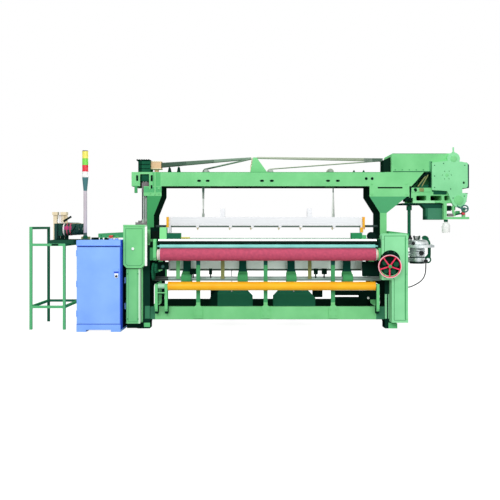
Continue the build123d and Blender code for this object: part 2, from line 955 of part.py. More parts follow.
# Sheet covers over the gearing at both frame ends
right_cover_outline = (
    (right_cover_left, right_cover_step_z),
    (right_cover_left, right_cover_top),
    (right_cover_right, right_cover_top),
    (right_cover_right, right_cover_bottom),
    (right_cover_step_x, right_cover_bottom),
    (right_cover_step_x, right_cover_step_z),
)
with BuildPart() as right_cover:
    with BuildSketch(Plane.XZ.offset(-cover_rear)) as cover_face:
        with BuildLine():
            Polyline(*right_cover_outline, close=True)
        make_face()
        fillet(cover_face.vertices().group_by(Axis.Y)[-1], radius=cover_corner)
    extrude(amount=cover_rear - cover_front)
    add(block((frame_outer + cover_gap, right_cover_right), (cover_rear, right_cover_side),
              (right_cover_bottom + right_cover_side_inset, right_cover_top - cover_corner)))
    with BuildSketch(Plane.XZ.offset(-cover_front)):
        with BuildLine():
            Polyline(*right_cover_outline, close=True)
        make_face()
        offset(amount=-cover_line_inset)
        offset(amount=-cover_line, mode=Mode.SUBTRACT)
    extrude(amount=-cover_line_depth, mode=Mode.SUBTRACT)
    with BuildSketch(Plane.XZ.offset(-cover_front)):
        with Locations((gearbox_x, gearbox_z)):
            Circle(gearbox_radius)
    extrude(amount=-gearbox_depth, mode=Mode.SUBTRACT)
    with BuildSketch(Plane.YZ.offset(right_cover_left)):
        with Locations((roller_y, take_up_z)):
            Circle(take_up_journal / 2 + cover_journal_room)
    extrude(amount=take_up_journal_end - right_cover_left + cover_journal_end_room, mode=Mode.SUBTRACT)
    with BuildSketch(Plane.YZ.offset(right_cover_right)):
        with Locations((cable_route[-1][1], cable_route[-1][2])):
            Circle(gland_diameter / 2)
    extrude(amount=gland_length)
save("right_cover", right_cover.part)

with BuildPart() as left_upper_cover:
    with BuildSketch(Plane.XZ.offset(-frame_front)) as cover_face:
        with Locations(((left_cover_left + left_cover_right) / 2, (left_cover_bottom + left_cover_top) / 2)):
            Rectangle(left_cover_right - left_cover_left, left_cover_top - left_cover_bottom)
        chamfer(cover_face.vertices().group_by(Axis.Y)[0], length=left_cover_chamfer)
    extrude(amount=frame_front - cover_front)
    with BuildSketch(Plane.XZ.offset(-cover_front)) as cover_line_face:
        with Locations(((left_cover_left + left_cover_right) / 2, (left_cover_bottom + left_cover_top) / 2)):
            Rectangle(left_cover_right - left_cover_left, left_cover_top - left_cover_bottom)
        chamfer(cover_line_face.vertices().group_by(Axis.Y)[0], length=left_cover_chamfer)
        offset(amount=-cover_line_inset, kind=Kind.INTERSECTION)
        offset(amount=-cover_line, kind=Kind.INTERSECTION, mode=Mode.SUBTRACT)
    extrude(amount=-cover_line_depth, mode=Mode.SUBTRACT)
    add(block((left_cover_left, left_cover_right), (cover_front - left_lip / 2, frame_front),
              (left_cover_top, left_cover_top + left_lip)))
save("left_upper_cover", left_upper_cover.part)

with BuildPart() as left_lower_cover:
    add(block((lower_cover_left, lower_cover_right), (lower_cover_front, lower_cover_rear),
              (lower_cover_bottom, left_cover_bottom - lower_cover_gap)))
    fillet(left_lower_cover.edges().filter_by(Axis.Z).sort_by(Axis.Y)[:2], radius=left_lip)
    add(block((lower_cover_right, -frame_outer), (frame_front, lower_cover_rear),
              (lower_cover_bottom, left_cover_bottom - lower_cover_gap)))
save("left_lower_cover", left_lower_cover.part)

# Sley: rocking shaft, swords, race board, reed and reed cap
save("rocking_shaft", rod_x(rock_y, rock_z, rock_diameter / 2, -frame_outer, frame_outer))


def sword(place):
    """One sword: a split boss on the rocking shaft with a tapering blade up to the race board."""
    with BuildPart() as blade:
        with BuildSketch(Plane.XZ.offset(-rock_y - sword_thickness / 2)):
            with BuildLine():
                Polyline(
                    (place - sword_foot / 2, rock_z - sword_thickness),
                    (place - sword_foot / 2, rock_z + sword_thickness),
                    (place - sword_width / 2, rock_z + 2 * sword_thickness),
                    (place - sword_width / 2, race_bottom),
                    (place + sword_width / 2, race_bottom),
                    (place + sword_width / 2, rock_z + 2 * sword_thickness),
                    (place + sword_foot / 2, rock_z + sword_thickness),
                    (place + sword_foot / 2, rock_z - sword_thickness),
                    close=True,
                )
            make_face()
        extrude(amount=-sword_thickness)
        with BuildSketch(Plane.YZ.offset(place - sword_foot / 2)):
            with Locations((rock_y, rock_z)):
                Circle(sword_thickness)
        extrude(amount=sword_foot)
        with BuildSketch(Plane.YZ.offset(place - sword_foot / 2)):
            with Locations((rock_y, rock_z)):
                Circle(rock_diameter / 2)
        extrude(amount=sword_foot, mode=Mode.SUBTRACT)
    return blade.part


save_group("sley_swords", [sword(place) for place in sword_places])

race_front = rock_y - race_depth / 2
race_rear = rock_y + race_depth / 2
reed_rear = rock_y + reed_set_back
reed_front = reed_rear - reed_thickness
race_board_outline = (
    (race_front, race_bottom + race_nose),
    (race_front + race_nose, race_bottom),
    (race_rear, race_bottom),
    (race_rear, race_top),
    (reed_front, race_top),
    (race_front, race_top - race_slope),
)
save("race_board", side_prism(race_board_outline, -race_half, race_half))

with BuildPart() as reed:
    with BuildSketch(Plane.XZ.offset(-reed_rear)):
        with Locations((0, (race_top + reed_top) / 2)):
            Rectangle(2 * (race_half - cap_post), reed_height)
            with GridLocations(2 * (race_half - cap_post - reed_edge) / reed_gaps, 0, reed_gaps, 1):
                Rectangle(
                    reed_gap_share * 2 * (race_half - cap_post - reed_edge) / reed_gaps,
                    reed_height - 2 * reed_edge,
                    mode=Mode.SUBTRACT,
                )
    extrude(amount=reed_thickness)
save("reed", reed.part)

with BuildPart() as reed_cap:
    with BuildSketch(Plane.YZ.offset(-race_half)) as cap_section:
        with Locations(((reed_front + reed_rear) / 2, reed_top + cap_height / 2)):
            Rectangle(cap_depth, cap_height)
        fillet(cap_section.vertices().group_by(Axis.Y)[-1], radius=cap_depth / 3)
    extrude(amount=2 * race_half)
    with BuildSketch(Plane.XY.offset(race_top)):
        with Locations((0, (reed_front + race_rear) / 2)):
            with GridLocations(2 * race_half - cap_post, 0, 2, 1):
                Rectangle(cap_post, race_rear - reed_front)
    extrude(amount=reed_height)
save("reed_cap", reed_cap.part)


# Heald frames: two rails, two stays, the heald bars on their hooks and the rods to the spring boxes
def heald_frame(number):
    """The separate solids of one heald frame, in its lowest place."""
    front = heald_y(number) - heald_thickness / 2
    rear = front + heald_thickness
    left = heald_centre - heald_half
    right = heald_centre + heald_half
    bar_top = heald_top - heald_top_rail - heald_bar_drop
    lower_top = heald_bottom + heald_bottom_rail
    with BuildPart() as top_rail:
        with BuildSketch(Plane.XZ.offset(-rear)):
            with Locations((heald_centre, heald_top - heald_top_rail / 2)):
                Rectangle(2 * (heald_half - heald_stay), heald_top_rail)
            for place in heald_hook_places:
                with BuildLine():
                    Polyline(
                        (place - heald_hook_top / 2, heald_top - heald_top_rail),
                        (place + heald_hook_top / 2, heald_top - heald_top_rail),
                        (place + heald_hook_tip / 2, heald_top - heald_top_rail - heald_hook_height),
                        (place - heald_hook_tip / 2, heald_top - heald_top_rail - heald_hook_height),
                        close=True,
                    )
                make_face()
        extrude(amount=heald_thickness)
        with BuildSketch(Plane.XZ.offset(-heald_y(number) - heald_bar_thickness / 2)):
            with Locations((heald_centre, bar_top - heald_bar / 2)):
                Rectangle(2 * (heald_half - heald_stay), heald_bar)
        extrude(amount=-heald_bar_thickness)
    lower_bar = block(
        (left + heald_stay, right - heald_stay),
        (heald_y(number) - heald_bar_thickness / 2, heald_y(number) + heald_bar_thickness / 2),
        (lower_top, lower_top + heald_bar),
    )
    pieces = [top_rail.part, lower_bar]
    pieces.append(block((left + heald_stay, right - heald_stay), (front, rear), (heald_bottom, lower_top)))
    pieces.append(block((left, left + heald_stay), (front, rear), (heald_bottom, heald_top)))
    pieces.append(block((right - heald_stay, right), (front, rear), (heald_bottom, heald_top)))
    for place in heald_post_places:
        pieces.append(block((place - heald_post_width / 2, place + heald_post_width / 2), (front, rear),
                            (heald_top, heald_top + heald_post_rise)))
    for span in spring_box_spans:
        pieces.append(rod_z(sum(span) / 2, heald_y(number), heald_rod_diameter / 2,
                            spring_rod_bottom, heald_bottom))
    return pieces


for number in range(heald_count):
    save_group(f"heald_frame_{number + 1}", heald_frame(number))


def heald_guide(side):
    """A grooved end guide for the heald frames, held by a rod from the arch leg."""
    face = heald_centre + side * (heald_half - heald_guide_groove / 2)
    inner, outer = sorted((face, face + side * heald_guide_width))
    front = heald_first_y - heald_pitch
    rear = heald_y(heald_count - 1) + heald_pitch
    low = heald_guide_bottom - heald_guide_width
    with BuildPart() as guide:
        with BuildSketch(Plane.XY.offset(low)):
            with Locations(((inner + outer) / 2, (front + rear) / 2)):
                Rectangle(outer - inner, rear - front)
            for number in range(heald_count):
                with Locations((face + side * heald_guide_groove / 2, heald_y(number))):
                    Rectangle(heald_guide_groove, heald_thickness + 2 * heald_guide_gap, mode=Mode.SUBTRACT)
        extrude(amount=heald_guide_width + heald_guide_height)
        arm = sorted((side * frame_inner, face + side * heald_guide_width / 2))
        with BuildSketch(Plane.YZ.offset(arm[0])):
            with Locations(((front + rear) / 2, low + heald_guide_width / 2)):
                Circle(heald_guide_width / 2)
        extrude(amount=arm[1] - arm[0])
    return guide.part


save_group("heald_guides", [heald_guide(-1), heald_guide(1)])


# Spring boxes under the heald frames, on bearers between the two bottom rails
def spring_box(span):
    """One spring box: the outer top corner is cut off, and the rods run in bores in its top."""
    left, right = span
    middle = sum(span) / 2
    with BuildPart() as box:
        with BuildSketch(Plane.XZ.offset(-spring_box_rear)):
            with BuildLine():
                Polyline(
                    (left, spring_box_bottom),
                    (left, spring_box_top - spring_box_chamfer),
                    (left + spring_box_chamfer, spring_box_top),
                    (right - spring_box_chamfer, spring_box_top),
                    (right, spring_box_top - spring_box_chamfer),
                    (right, spring_box_bottom),
                    close=True,
                )
            make_face()
        extrude(amount=spring_box_rear - spring_box_front)
        with BuildSketch(Plane.XY.offset(spring_box_top)):
            with Locations((middle, heald_first_y + (heald_count - 1) * heald_pitch / 2)):
                with GridLocations(0, heald_pitch, 1, heald_count):
                    Circle(spring_box_bore / 2)
        extrude(amount=spring_rod_bottom - spring_box_top - running_gap, mode=Mode.SUBTRACT)
    return box.part


spring_bearers = [
    block(
        (sum(span) / 2 - spring_bearer_width / 2, sum(span) / 2 + spring_bearer_width / 2),
        (rail_front + rail_depth, rear_rail_front),
        (spring_box_bottom - spring_bearer_height, spring_box_bottom),
    )
    for span in spring_box_spans
]
save_group("undermotion_boxes", [spring_box(span) for span in spring_box_spans] + spring_bearers)

# Arch beam, with the yoke for the spring bank, the lift cable slots and the welded fin
yoke_outline = (
    (yoke_left, arch_bottom),
    (yoke_left, arch_top),
    (yoke_window[1], arch_top),
    (yoke_window[1], yoke_window_top),
    (yoke_window[0], yoke_window_top),
    (yoke_window[0], arch_bottom),
)
beam_outline = (
    (yoke_window[1], arch_bottom),
    (yoke_window[1], arch_top),
    (arch_right, arch_top),
    (arch_right_low, arch_bottom),
)
cable_y = [heald_y(number) for number in range(heald_count)]
slot_front = cable_y[0] - heald_pitch
slot_rear = cable_y[-1] + heald_pitch
slot_half = pulley_radius + slot_side
centre_pocket_left = pulley_places[1] - slot_half
with BuildPart() as arch_beam:
    add(front_prism(beam_outline, arch_front, arch_rear))
    add(front_prism(yoke_outline, arch_front, arch_front + yoke_plate))
    add(front_prism(yoke_outline, arch_rear - yoke_plate, arch_rear))
    add(block((yoke_left, yoke_left + yoke_plate), (arch_front, arch_rear), (arch_bottom, arch_top)))
    add(front_prism([(x, arch_top + rise) for x, rise in fin_points], fin_front, fin_rear))
    for place in (pulley_places[0], pulley_places[2]):
        with BuildSketch(Plane.XY.offset(arch_top)):
            with Locations((place, (slot_front + slot_rear) / 2)):
                Rectangle(2 * slot_half, slot_rear - slot_front)
        extrude(amount=-arch_height, mode=Mode.SUBTRACT)
    with BuildSketch(Plane.XY.offset(arch_top)):
        with Locations((centre_pocket_left / 2 + centre_pocket_right / 2, (slot_front + slot_rear) / 2)):
            Rectangle(centre_pocket_right - centre_pocket_left, slot_rear - slot_front)
    extrude(amount=-centre_pocket_depth, mode=Mode.SUBTRACT)
    with BuildSketch(Plane.XZ.offset(-arch_front)):
        for height, places in arch_slot_rows:
            with Locations(*[(place, height) for place in places]):
                SlotOverall(arch_slot_length, arch_slot_width)
    extrude(amount=-arch_slot_depth, mode=Mode.SUBTRACT)
save("arch_beam", arch_beam.part)

# Arch legs: welded columns with gussets that spread under the beam
left_leg_outline = (
    (-frame_outer, frame_top),
    (-frame_outer, arch_bottom),
    (-leg_head_left, arch_bottom),
    (-leg_head_left, leg_head_bottom),
    (-frame_inner, leg_gusset_bottom),
    (-frame_inner, frame_top),
)
wing_outline = (
    (-leg_head_outer, leg_head_bottom),
    (-leg_head_outer, arch_bottom),
    (-frame_outer, arch_bottom),
    (-frame_outer, leg_head_bottom),
)
with BuildPart() as left_arch_leg:
    add(front_prism(left_leg_outline, arch_front, arch_rear))
    add(front_prism(wing_outline, arch_front, arch_front + yoke_plate))
    add(front_prism(wing_outline, arch_rear - yoke_plate, arch_rear))
save("left_arch_leg", left_arch_leg.part)

right_leg_outline = (
    (frame_inner, frame_top),
    (frame_inner, panel_gusset_bottom),
    (panel_left, panel_bottom),
    (panel_left, arch_bottom),
    (panel_right, arch_bottom),
    (panel_right, panel_bottom),
    (panel_gusset_right, panel_bottom),
    (frame_outer, panel_gusset_bottom),
    (frame_outer, frame_top),
)
with BuildPart() as right_arch_leg:
    add(front_prism(right_leg_outline, arch_front, arch_rear))
    with BuildSketch(Plane.XZ.offset(-arch_front)):
        with Locations((sum(panel_slot) / 2, arch_bottom - panel_slot_height)):
            SlotOverall(panel_slot[1] - panel_slot[0], panel_slot_height)
    extrude(amount=-panel_slot_depth, mode=Mode.SUBTRACT)
save("right_arch_leg", right_arch_leg.part)


# Lift pulleys: a sheave for each heald frame on one axle between two cheeks
def pulley_stack(place):
    """The sheaves at one place on the arch."""
    with BuildPart() as stack:
        for near, far in ((slot_front - pulley_cheek, slot_front), (slot_rear, slot_rear + pulley_cheek)):
            add(block((place - pulley_cheek_width / 2, place + pulley_cheek_width / 2), (near, far),
                      (arch_top, arch_top + pulley_cheek_rise)))
        add(rod_y(place, pulley_z, pulley_axle / 2, slot_front - pulley_cheek, slot_rear + pulley_cheek))
        for depth in cable_y:
            add(rod_y(place, pulley_z, pulley_radius, depth - pulley_width / 2, depth + pulley_width / 2))
    return stack.part


def bundle_height(x, level):
    """The height of a cable of the left bundle at one place along the arch."""
    share = (x - corner_block[1]) / (fin_points[1][0] - corner_block[1])
    return bundle_start[level] + share * (bundle_end[level] - bundle_start[level])


corner_middle = (sum(corner_block) / 2, (slot_front + slot_rear) / 2)
with BuildPart() as corner_pulleys:
    add(block(corner_block, (slot_front, slot_rear), (corner_block_bottom, corner_block_top)))
    add(rod_z(*corner_middle, corner_post / 2, arch_top, corner_block_bottom))
cable_supports = []
for place in cable_support_places:
    support_top = bundle_height(place - cable_radius, 0) - cable_radius - cable_gap
    support_outline = (
        (place - cable_support_width / 2, arch_top),
        (place - cable_radius, support_top),
        (place + cable_radius, support_top),
        (place + cable_support_width / 2, arch_top),
    )
    cable_supports.append(front_prism(support_outline, slot_front, slot_rear))
pulley_stacks = [pulley_stack(place) for place in pulley_places]
save_group("lift_pulleys", pulley_stacks + [corner_pulleys.part] + cable_supports)

# Spring bank: block in the yoke, tubes below it and the foot that carries them
with BuildPart() as spring_block:
    bank_right = corner_block[0]
    bank_outline = (
        (yoke_window[0], bank_foot),
        (yoke_window[0], arch_top),
        (bank_left, arch_top),
        (bank_left, bank_top - bank_flare_height),
        (bank_left - bank_flare, bank_top),
        (bank_right, bank_top),
        (bank_right, arch_top),
        (yoke_window[1], arch_top),
        (yoke_window[1], bank_foot),
    )
    add(front_prism(bank_outline, bank_front, bank_rear))
save("spring_block", spring_block.part)

spring_tubes = [
    rod_z(x, tube_first_y + number * tube_pitch, tube_radius, tube_bottom, bank_foot)
    for x in tube_columns
    for number in range(heald_count)
]
tube_foot = block((tube_foot_left, -frame_outer), (bank_front, bank_rear),
                  (tube_bottom - tube_foot_height, tube_bottom))
save_group("spring_tubes", spring_tubes + [tube_foot])

# Dobby housing with its cable hood
with BuildPart() as dobby_housing:
    with BuildSketch(Plane.XZ.offset(-dobby_rear)):
        with BuildLine():
            Polyline(
                (dobby_left, arch_top),
                (dobby_left, dobby_top - dobby_edge),
                (dobby_left + dobby_edge, dobby_top),
                (dobby_right, dobby_top),
                (dobby_right, arch_top),
                close=True,
            )
        make_face()
    extrude(amount=dobby_rear - dobby_front)
    hood_outline = (
        (hood_left, arch_top),
        (hood_left, arch_top + hood_rises[0]),
        (dobby_left, arch_top + hood_rises[1]),
        (dobby_left, arch_top),
    )
    hood = front_prism(hood_outline, slot_front - 2 * heald_pitch, slot_rear + 2 * heald_pitch)
    add(hood)
save("dobby_housing", dobby_housing.part)

# Dobby case: the casing behind the end plate, notched as the plate is, its open frame and the arm to the leg
case_outline = (
    (case_left, case_bottom),
    (case_frame_right, case_bottom),
    (case_frame_right, case_lip_bottom),
    (case_lip_bottom_right, case_lip_bottom),
    (case_lip_top_right, case_notch[0]),
    (case_notch_left, case_notch[0]),
    (case_notch_left, case_notch[1]),
    (case_right, case_notch[1]),
    (case_right, case_top - case_corner),
    (case_right - case_corner, case_top),
    (dobby_right, case_top),
    (dobby_right, arch_top),
    (case_left, arch_top),
)
with BuildPart() as dobby_case:
    add(front_prism(case_outline, dobby_front, dobby_rear))
    with BuildSketch(Plane.XZ.offset(-case_rear)):
        with Locations(((case_frame_left + case_frame_right) / 2, (case_frame_bottom + case_bottom) / 2)):
            Rectangle(case_frame_right - case_frame_left, case_bottom - case_frame_bottom)
        for window in case_windows:
            with Locations((sum(window) / 2, sum(case_window) / 2)):
                RectangleRounded(window[1] - window[0], case_window[1] - case_window[0], dobby_edge,
                                 mode=Mode.SUBTRACT)
    extrude(amount=case_rear - dobby_front)
    add(block((panel_right, case_frame_left), (dobby_front, case_rear),
              (case_bottom - case_arm, case_bottom)))
    add(block((case_base_left, sump_right), (sump_front, case_rear),
              (case_frame_bottom - case_base, case_frame_bottom)))
    for number in range(jack_count):
        jack_front = dobby_front + jack_pitch / 2 + number * jack_pitch
        jack_outline = (
            (case_frame_left + jack_width, case_bottom),
            (case_frame_left + 2 * jack_width, case_bottom),
            (arch_right + 2 * jack_width, arch_top),
            (arch_right + jack_width, arch_top),
        )
        add(front_prism(jack_outline, jack_front, jack_front + jack_thickness))
    drain_span = (drain_front, drain_front + drain_depth)
    add(block((drain_left, drain_right), drain_span, (drain_bottom, case_frame_bottom)))
    add(block((drain_left, drain_bar_right), drain_span, drain_bar))
    add(block((small_wheel_x - small_wheel_post / 2, small_wheel_x + small_wheel_post / 2),
              (drain_front, drain_front + small_wheel_post),
              (drain_bar[1], small_wheel_z + small_wheel_post / 2)))
    with BuildSketch(Plane.XZ.offset(-drain_front)):
        with Locations((small_wheel_x, small_wheel_z)):
            Circle(small_wheel_pin / 2 + running_gap)
    extrude(amount=-small_wheel_post, mode=Mode.SUBTRACT)
    with BuildSketch(Plane.XY.offset(case_frame_bottom)):
        with Locations((drive_x, drive_y)):
            Circle(drive_diameter / 2 + running_gap)
    extrude(amount=-case_base, mode=Mode.SUBTRACT)
save("dobby_case", dobby_case.part)

# Dobby end plate: two round lobes, a notch at the right, a ring of small holes and the lifting pin
plate_outline = [(dobby_right + x, arch_top + z) for x, z in plate_points]
with BuildPart() as dobby_plate:
    with BuildSketch(Plane.XZ.offset(-dobby_front)):
        with BuildLine():
            Polyline(*plate_outline, close=True)
        make_face()
        for x, z, radius in plate_lobes:
            with Locations((dobby_right + x, arch_top + z)):
                Circle(radius)
        with Locations((dobby_right + plate_ring[0], arch_top + plate_ring[1])):
            with PolarLocations(plate_ring_radius, plate_ring_holes):
                Circle(plate_hole, mode=Mode.SUBTRACT)
        with Locations((dobby_right + plate_bolt[0], arch_top + plate_bolt[1])):
            Circle(plate_bolt_radius, mode=Mode.SUBTRACT)
    extrude(amount=dobby_plate_thickness)
    add(rod_z(dobby_right + plate_lobes[0][0], dobby_front - dobby_plate_thickness / 2, lifting_pin_radius,
              arch_top + plate_lobes[0][1], arch_top + lifting_pin_rise))
save("dobby_plate", dobby_plate.part)

sump_top = case_frame_bottom - case_base
with BuildPart() as oil_sump:
    with BuildSketch(Plane.XZ.offset(-sump_front - sump_depth)):
        with BuildLine():
            Polyline(
                (sump_left, sump_bottom),
                (sump_right, sump_bottom),
                (sump_right, sump_top),
                (sump_left - sump_flare, sump_top),
                (sump_left, sump_top - sump_flare),
                close=True,
            )
        make_face()
    extrude(amount=sump_depth)
save("oil_sump", oil_sump.part)

bottle_bottom = drain_bottom - bottle_hang
with BuildPart() as drip_bottle:
    with BuildSketch(Plane.XZ.offset(-drain_front - drain_depth / 2)):
        with BuildLine():
            Polyline(
                (bottle_x, bottle_bottom),
                *[(bottle_x + radius, bottle_bottom + height) for radius, height in bottle_profile],
                (bottle_x, drain_bottom),
                close=True,
            )
        make_face()
    revolve(axis=Axis((bottle_x, drain_front + drain_depth / 2, 0), (0, 0, 1)))
save("drip_bottle", drip_bottle.part)

small_wheel_y = drain_front - small_wheel_post
with BuildPart() as dobby_wheel:
    with BuildSketch(Plane.XY.offset(small_wheel_z)):
        with Locations((small_wheel_x + small_wheel_radius, small_wheel_y)):
            Circle(small_wheel_rim / 2)
    revolve(axis=Axis((small_wheel_x, small_wheel_y, small_wheel_z), (0, 1, 0)))
    with BuildSketch(Plane.XZ.offset(-small_wheel_y - small_wheel_rim / 4)):
        with Locations((small_wheel_x, small_wheel_z)):
            Rectangle(2 * small_wheel_radius, small_wheel_rim)
            Circle(small_wheel_pin)
    extrude(amount=-small_wheel_rim / 2)
    add(rod_y(small_wheel_x, small_wheel_z, small_wheel_pin / 2,
              small_wheel_y, drain_front + small_wheel_post / 2))
save("dobby_wheel", dobby_wheel.part)

# Upright shaft that drives the dobby, with its coupling
with BuildPart() as dobby_shaft:
    add(rod_z(drive_x, drive_y, drive_diameter / 2, drive_bottom + drive_end_play, case_frame_bottom))
    add(rod_z(drive_x, drive_y, coupling_diameter / 2, *coupling_span))
save("dobby_shaft", dobby_shaft.part)

# Lift cables: over the arch's pulleys, through the fin's guide plate and to the dobby
fin_outline = [(x, arch_top + rise) for x, rise in fin_points]
tangent_turn = degrees(asin(2 * cable_rise / (pulley_places[2] - pulley_places[1])))


def wound_cable(depth, place, first, last, end):
    """A cable wound on one pulley between two angles, with its straight run to an end point."""
    centre = Vector(place, depth, pulley_z)
    turn_plane = Plane(origin=centre, x_dir=(1, 0, 0), z_dir=(0, -1, 0))
    with BuildPart() as cable:
        with BuildLine(turn_plane) as route:
            CenterArc((0, 0), cable_rise, first, last - first)
            Line(route.edges()[0] @ 1, (end[0] - place, end[1] - pulley_z))
        with BuildSketch(Plane(origin=route.wires()[0] @ 0, z_dir=route.wires()[0] % 0)):
            Circle(cable_radius)
        sweep(path=route.wires()[0], transition=Transition.RIGHT)
    return cable.part


def leaving_angle(place, end):
    """The angle where a cable that goes over a pulley leaves it for an end point on its right."""
    run = hypot(end[0] - place, end[1] - pulley_z)
    return degrees(asin((end[1] - pulley_z) / run)) + degrees(acos(cable_rise / run))


fin_left_end = (fin_points[1][0], left_cable_end)
fin_right_start = (fin_points[2][0], upper_cable[0])
hood_end = (dobby_left, low_cable_end)
cable_runs = []
for depth in cable_y:
    for level in range(2):
        cable_runs.append(strand((sum(corner_block) / 2, depth, bundle_height(sum(corner_block) / 2, level)),
                                 (fin_points[1][0], depth, bundle_end[level]), cable_radius))
    cable_runs.append(strand((fin_right_start[0], depth, fin_right_start[1]),
                             (dobby_left, depth, upper_cable[1]), cable_radius))
    cable_runs.append(wound_cable(depth, pulley_places[0], 180, leaving_angle(pulley_places[0], fin_left_end),
                                  fin_left_end))
    cable_runs.append(wound_cable(depth, pulley_places[1], 270 + tangent_turn,
                                  leaving_angle(pulley_places[1], hood_end), hood_end))
    crossing = (pulley_places[1] + cable_rise * sin(radians(tangent_turn)),
                pulley_z - cable_rise * cos(radians(tangent_turn)))
    cable_runs.append(wound_cable(depth, pulley_places[2], 0, 90 + tangent_turn, crossing))
harness_cables = []
for run in cable_runs:
    with BuildPart() as trimmed:
        add(run)
        add(front_prism(fin_outline, fin_front, fin_rear), mode=Mode.SUBTRACT)
        add(corner_pulleys.part, mode=Mode.SUBTRACT)
        add(hood, mode=Mode.SUBTRACT)
        add(block((dobby_left, dobby_right), (dobby_front, dobby_rear), (arch_top, dobby_top)),
            mode=Mode.SUBTRACT)
    harness_cables.append(trimmed.part)
save_group("harness_cables", harness_cables)

wire_places = (pulley_places[0] - wire_offset, pulley_places[2] + wire_offset)
lift_wires = [rod_z(x, y, wire_radius, heald_top, pulley_z) for x in wire_places for y in cable_y]
save_group("lift_wires", lift_wires)

# Back rest roller in its plates, and the open seats for the warp beam behind them
with BuildPart() as back_rest_roller:
    add(rod_x(rest_y, rest_z, rest_diameter / 2, -rest_half, rest_half))
    add(rod_x(rest_y, rest_z, rest_journal / 2, -frame_inner + end_gap, frame_inner - end_gap))
save("back_rest_roller", back_rest_roller.part)


def rest_bracket(side):
    """A plate on the side frame's inner face with the bore for the back rest roller."""
    inner = min(side * frame_inner, side * (frame_inner - rest_plate))
    with BuildPart() as plate:
        with BuildSketch(Plane.YZ.offset(inner)):
            with Locations((rest_y, (rest_plate_bottom + rest_z) / 2)):
                Rectangle(2 * rest_plate_half, rest_z - rest_plate_bottom)
            with Locations((rest_y, rest_z)):
                Circle(rest_plate_half)
                Circle(rest_journal / 2 + running_gap, mode=Mode.SUBTRACT)
        extrude(amount=rest_plate)
    return plate.part


def beam_seat(side):
    """An open seat on the side frame's rear edge for the warp beam's journal."""
    inner = min(side * frame_inner, side * (frame_inner + seat_plate))
    half = seat_radius + seat_wall
    with BuildPart() as seat:
        with BuildSketch(Plane.YZ.offset(inner)):
            with Locations(((frame_rear + seat_y + half) / 2, seat_z)):
                Rectangle(seat_y + half - frame_rear, 2 * half)
            with Locations((seat_y, seat_z)):
                Circle(seat_radius, mode=Mode.SUBTRACT)
            with Locations((seat_y, seat_z + half)):
                Rectangle(2 * seat_radius, 2 * half, mode=Mode.SUBTRACT)
        extrude(amount=seat_plate)
    return seat.part


save_group("rear_brackets", [part(side) for part in (rest_bracket, beam_seat) for side in (-1, 1)])

# Main drive: shaft with its pulley, motor with its pulley, and the belt around both
with BuildPart() as main_pulley:
    with BuildSketch(Plane.YZ.offset(belt_left)):
        with Locations((main_y, main_z)):
            Circle(main_pulley_radius)
    extrude(amount=belt_width)
    for face, depth in ((belt_left, 1), (belt_left + belt_width, -1)):
        with BuildSketch(Plane.YZ.offset(face)):
            with Locations((main_y, main_z)):
                Circle(main_pulley_radius - pulley_rim)
                Circle(main_shaft, mode=Mode.SUBTRACT)
        extrude(amount=depth * (belt_width - pulley_web) / 2, mode=Mode.SUBTRACT)
    add(rod_x(main_y, main_z, main_shaft / 2, main_shaft_inner + end_gap, main_shaft_outer))
save("main_pulley", main_pulley.part)

motor_plate_top = motor_z - motor_radius - motor_clearance
with BuildPart() as drive_motor:
    add(rod_x(motor_y, motor_z, motor_radius, motor_left, motor_right))
    add(block((motor_left + motor_base, motor_right - motor_base),
              (motor_y - motor_radius / 2, motor_y + motor_radius / 2), (motor_plate_top, motor_z)))
    add(block((frame_outer, motor_right), (motor_y - motor_base_depth / 2, motor_y + motor_base_depth / 2),
              (motor_plate_top - motor_base, motor_plate_top)))
    with BuildSketch(Plane.YZ.offset(motor_left)):
        with Locations((motor_y, motor_z)):
            Circle(motor_shaft / 2 + running_gap)
    extrude(amount=motor_bore, mode=Mode.SUBTRACT)
save("drive_motor", drive_motor.part)

with BuildPart() as motor_pulley:
    add(rod_x(motor_y, motor_z, motor_pulley_radius, belt_left, belt_left + belt_width))
    add(rod_x(motor_y, motor_z, motor_shaft / 2, belt_left, motor_left + motor_bore - end_gap))
save("motor_pulley", motor_pulley.part)

belt_run = hypot(motor_y - main_y, motor_z - main_z)
belt_heading = degrees(asin((motor_z - main_z) / belt_run))
belt_flare = degrees(acos((main_pulley_radius - motor_pulley_radius) / belt_run))


def belt_tangent(centre, radius, side):
    """The point where one side of the belt meets a circle on one of the two shafts."""
    angle = radians(belt_heading + side * belt_flare)
    return centre[0] + radius * cos(angle), centre[1] + radius * sin(angle)


with BuildPart() as drive_belt:
    with BuildSketch(Plane.YZ.offset(belt_left)):
        for rise, mode in ((belt_gap + belt_thickness, Mode.ADD), (belt_gap, Mode.SUBTRACT)):
            with BuildSketch(mode=Mode.PRIVATE) as loop:
                with Locations((main_y, main_z)):
                    Circle(main_pulley_radius + rise)
                with Locations((motor_y, motor_z)):
                    Circle(motor_pulley_radius + rise)
                with BuildLine():
                    Polyline(
                        belt_tangent((main_y, main_z), main_pulley_radius + rise, 1),
                        belt_tangent((motor_y, motor_z), motor_pulley_radius + rise, 1),
                        belt_tangent((motor_y, motor_z), motor_pulley_radius + rise, -1),
                        belt_tangent((main_y, main_z), main_pulley_radius + rise, -1),
                        close=True,
                    )
                make_face()
            add(loop.sketch, mode=mode)
    extrude(amount=belt_width)
save("drive_belt", drive_belt.part)

